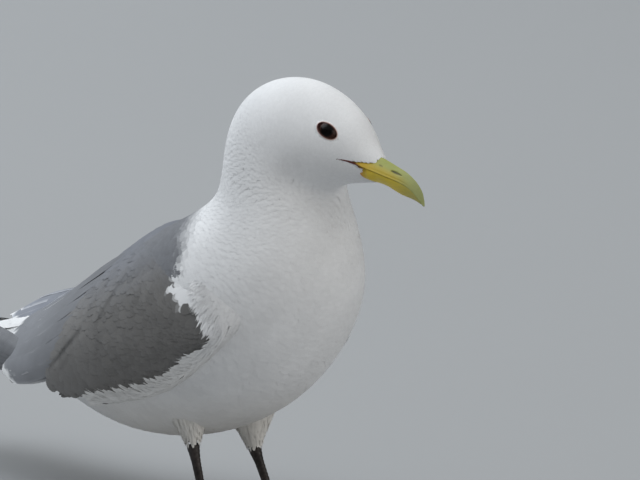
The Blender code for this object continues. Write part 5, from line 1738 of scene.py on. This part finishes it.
# =====================================================================================
# Gape, bill's feather edge
# =====================================================================================
def make_gape(side):
    word = "right" if side < 0 else "left"
    n = np.array([0.42, side * 0.90, 0.05])
    n /= np.linalg.norm(n)
    pts = cubic(GAPE * np.array([1, side, 1]), np.linspace(0, 1, 40))
    r = np.interp(np.linspace(0, 1, 40), [0, 0.15, 0.55, 0.85, 1], [0.10, 0.26, 0.42, 0.34, 0.06])
    rings = []
    for i, (p, rr) in enumerate(zip(pts, r)):
        q = on_head(p, n, -0.10 if i < 30 else -0.15)
        q = np.array([p[0], q[1] if abs(q[1]) > abs(p[1]) else p[1], p[2]])
        ring = [q + n * 0.45 * rr * cos(a) + np.array([0, 0, 1.0]) * rr * sin(a) for a in np.linspace(0, 2 * pi, 12, endpoint=False)]
        rings.append(ring)
    v, f = loft_shell(np.array(rings))
    col = np.tile(GAPE_RED * 0.9, (len(v), 1))
    tinted("gape_" + word, turn_head(np.array(v)), f, col, M_LID, "bill")


# =====================================================================================
# Legs, feet, claws
# =====================================================================================
def ring_about(c, direction, rx, ry, n, scute=0.0):
    d = Vector(direction).normalized()
    a = d.cross(Vector((0, 1, 0))).normalized()
    b = d.cross(a).normalized()
    return [tuple(Vector(c) + a * rx * cos(k) + b * ry * sin(k)) for k in np.linspace(0, 2 * pi, n, endpoint=False)]


def leg_tint(p, seed):
    base = np.array([0.030, 0.024, 0.022])
    t = 1 + 0.25 * wave_noise(p, 3.0, seed) + 0.2 * wave_noise(p, 11.0, seed + 1)
    return base * np.clip(t, 0.4, 2.0)[..., None]


def make_leg(side):
    word = "right" if side < 0 else "left"
    (ax, az), (jx, jz) = ANKLE[side], TOE_JOINT[side]
    ya, yj = side * LEG_Y, side * TOE_JOINT_Y
    d = Vector((jx - ax, yj - ya, jz - az))
    rows = ((0.0, 3.0, 2.6), (0.06, 3.15, 2.7), (0.14, 2.7, 2.25), (0.25, 2.35, 1.85), (0.5, 2.15, 1.7),
            (0.75, 2.15, 1.75), (0.88, 2.45, 2.0), (1.0, 2.6, 2.3))
    ts = np.linspace(0, 1, 150)
    rx = np.interp(ts, [r[0] for r in rows], [r[1] for r in rows])
    ry = np.interp(ts, [r[0] for r in rows], [r[2] for r in rows])
    for _ in range(14):
        rx[1:-1] = (rx[:-2] + 2 * rx[1:-1] + rx[2:]) / 4
        ry[1:-1] = (ry[:-2] + 2 * ry[1:-1] + ry[2:]) / 4
    rings = []
    n = 40
    for t, a, b in zip(ts, rx, ry):
        c = Vector((ax, ya, az)) + d * t
        ring = np.array(ring_about(c, d, a, b, n))
        # plates down the front: a step every 1.9 mm
        L = d.length * t
        ph = (L / 1.9) % 1.0
        k = np.linspace(0, 2 * pi, n, endpoint=False)
        front = np.clip(np.cos(k) * (1 if ring[0][0] > c[0] else -1), 0, 1) ** 0.5
        groove = 0.16 * exp(-((ph - 0.5) / 0.14) ** 2)
        small = 0.05 * np.sin(k * 9) * np.sin(L * 3.0) * (1 - front)
        cc = np.array(c)
        rad = ring - cc
        ln = np.linalg.norm(rad, axis=1, keepdims=True)
        ring = cc + rad / ln * (ln - (groove * front - small)[:, None])
        rings.append(ring)
    rings = np.array(rings)
    rings[-1][:, 2] = jz
    rings[0][:, 2] = rings[0][:, 2] - 0.3
    v, f = loft_shell(rings)
    v = np.array(v)
    tinted("tarsus_" + word, v, f, leg_tint(v, 21), M_LEG, "leg", "shank_" + word)


TOES = (("inner", -20.0, 26.0, 1.55), ("middle", 2.0, 36.5, 1.75), ("outer", 21.0, 33.0, 1.60))
FOOT_TURN, WEB, SOLE_KNOB, KNOB_TOP = 4.0, 0.85, 3.5, 4.9


def make_foot(side):
    word = "right" if side < 0 else "left"
    from math import asin
    jx = TOE_JOINT[side][0]
    y0 = side * TOE_JOINT_Y
    angles = [radians(t[1] + FOOT_TURN) for t in TOES]
    picks = set(np.round(np.linspace(angles[0] - 0.12, angles[2] + 0.12, 150), 5))
    picks |= set(np.round(np.linspace(angles[2] + 0.14, angles[0] - 0.14 + 2 * pi, 40), 5))
    ths = np.array(sorted(picks))
    radii = []
    for a in ths:
        best = SOLE_KNOB
        for b, t in zip(angles, TOES):
            dd = (a - b + pi) % (2 * pi) - pi
            if abs(dd) < pi / 2:
                half_w = t[3] / max(abs(sin(dd)), 1e-6)
                w = asin(t[3] / t[2])
                best = max(best, min(half_w, t[2] - 1.2 * min(1.0, abs(dd) / w) ** 2))
        for (b0, t0), (b1, t1) in zip(list(zip(angles, TOES))[:-1], list(zip(angles, TOES))[1:]):
            if b0 <= a <= b1:
                g = (a - b0) / (b1 - b0)
                best = max(best, (t0[2] * (1 - g) + t1[2] * g) * 0.93 - 5.5 * sin(pi * g))
        radii.append(best)
    radii = np.array(radii)
    steps = np.concatenate([np.linspace(0.02, 0.95, 62), [0.965, 0.98, 0.99, 1.0]])
    F, TH = np.meshgrid(steps, ths, indexing='ij')
    R = F * radii[None]
    px, py = R * np.cos(TH), R * np.sin(TH)
    h = np.full_like(R, WEB - 0.12)
    wrinkle = 0.05 * np.sin(R * 3.1) + 0.05 * wave_noise(np.stack([px, py, px * 0], -1), 3.0, 31)
    h = h + wrinkle * 0.8
    for b, t in zip(angles, TOES):
        c, s = cos(b), sin(b)
        U, Vv = px * c + py * s, -px * s + py * c
        on = (U > 0) & (np.abs(Vv) < t[3])
        kn = 1 + 0.09 * np.cos((U / t[2]) * 2 * pi * 3.0) - 0.06 * (np.abs(((U / 1.25) % 1.0) - 0.5) < 0.12)
        th_ = (3.3 - 1.1 * np.clip(U / t[2], 0, 1)) * kn
        th_ = np.minimum(th_, 3.45)
        hh = WEB + (th_ - WEB) * np.sqrt(np.clip(1 - (Vv / t[3]) ** 2, 0, 1))
        h = np.where(on, np.maximum(h, hh), h)
    knob = KNOB_TOP * np.sqrt(np.clip(1 - (R / (SOLE_KNOB + 1.6)) ** 4, 0, 1))
    h = np.where(R < SOLE_KNOB + 1.5, np.maximum(h, knob), h)
    fall = np.sqrt(np.clip(1 - np.clip((F - 0.945) / 0.055, 0, 1) ** 2, 0, 1))
    h = 0.35 + (h - 0.35) * fall
    top = np.stack([jx + px, y0 + side * py, h], -1)
    bot = top[::4].copy()
    bot[..., 2] = 0.0
    n = len(ths)
    v = [(jx, y0, KNOB_TOP)] + list(map(tuple, top.reshape(-1, 3)))
    f = [(0, 1 + j, 1 + (j + 1) % n) for j in range(n)]
    m = len(steps)
    for i in range(m - 1):
        for j in range(n):
            k = (j + 1) % n
            f.append((1 + i * n + j, 1 + (i + 1) * n + j, 1 + (i + 1) * n + k, 1 + i * n + k))
    base = len(v)
    last = 1 + (m - 1) * n
    v += [(jx + r * cos(a), y0 + side * r * sin(a), 0.0) for r, a in zip(radii, ths)]
    v += [(jx + r * 0.5 * cos(a), y0 + side * r * 0.5 * sin(a), 0.0) for r, a in zip(radii, ths)]
    v.append((jx, y0, 0.0))
    for j in range(n):
        k = (j + 1) % n
        f.append((last + j, base + j, base + k, last + k))
        f.append((base + j, base + n + j, base + n + k, base + k))
        f.append((base + n + j, len(v) - 1, base + n + k))
    v = np.array(v)
    col = leg_tint(v, 41)
    col = col * (1 + 0.5 * smooth(1.2, 0.6, v[:, 2]))[:, None]
    tinted("webbed_foot_" + word, v, f, col, M_LEG, "leg", "foot_" + word)
    lengths = {"inner": 5.0, "middle": 6.5, "outer": 4.8}
    for label, angd, length, w in TOES:
        a = radians(angd + FOOT_TURN)
        rings = []
        for t in np.linspace(0, 1, 26):
            r = length - 0.9 + (lengths[label] + 1.15) * t
            rad = (1.10 - 0.98 * t ** 1.2) * (w / 1.75)
            z = 1.15 + 0.40 * sin(pi * t * 0.8) - 0.80 * t * t
            c = (TOE_JOINT[side][0] + r * cos(a), side * (TOE_JOINT_Y + r * sin(a)), z)
            ring = []
            for k in np.linspace(0, 2 * pi, 20, endpoint=False):
                dy, dz = 0.72 * rad * cos(k), rad * sin(k)
                if dz < 0:
                    dz *= 0.8
                ring.append((c[0] - dy * sin(a), c[1] + side * dy * cos(a), max(0.05, c[2] + dz)))
            rings.append(ring)
        cv, cf = loft_shell(np.array(rings))
        cv = np.array(cv)
        cc = np.tile(np.array([0.018, 0.015, 0.014]), (len(cv), 1)) * (1 + 0.2 * wave_noise(cv, 2.0, 5))[:, None]
        tinted("nail_%s_%s" % (label, word), cv, cf, cc, M_CLAW, "claw", "claw_%s_%s" % (label, word))


def make_base():
    m = bpy.data.materials.new("base_wood_painted")
    m.use_nodes = True
    nt = m.node_tree
    N = nt.nodes
    b = N["Principled BSDF"]
    b.inputs["Roughness"].default_value = 0.55
    tc = N.new("ShaderNodeTexCoord")
    mp = N.new("ShaderNodeMapping")
    mp.inputs["Scale"].default_value = (6.0, 60.0, 60.0)
    wv = N.new("ShaderNodeTexNoise")
    wv.inputs["Scale"].default_value = 8.0
    wv.inputs["Detail"].default_value = 6.0
    wv.inputs["Distortion"].default_value = 0.6
    ramp = N.new("ShaderNodeValToRGB")
    ramp.color_ramp.elements[0].position = 0.32
    ramp.color_ramp.elements[0].color = (0.215, 0.200, 0.180, 1)
    ramp.color_ramp.elements[1].position = 0.72
    ramp.color_ramp.elements[1].color = (0.330, 0.315, 0.290, 1)
    bp = N.new("ShaderNodeBump")
    bp.inputs["Strength"].default_value = 0.25
    bp.inputs["Distance"].default_value = 0.0003
    links(nt, (tc.outputs["Object"], mp.inputs["Vector"]), (mp.outputs["Vector"], wv.inputs["Vector"]), (wv.outputs["Fac"], ramp.inputs["Fac"]),
          (ramp.outputs["Color"], b.inputs["Base Color"]), (wv.outputs["Fac"], bp.inputs["Height"]), (bp.outputs["Normal"], b.inputs["Normal"]))
    ob = NODES["stand_base"]
    ob.data.materials.clear()
    ob.data.materials.append(m)


make_skin()
make_body_coat()
for _side in (-1, 1):
    wing_coat(_side)
    make_tertials(_side)
    make_primaries(_side)
    make_fluff(_side)
make_cap()
make_tail()
make_bill()
for _side in (-1, 1):
    make_eye(_side)
    make_gape(_side)
    make_leg(_side)
    make_foot(_side)
make_base()
print("COAT", sum(COAT_TRIS.values()), COAT_TRIS)
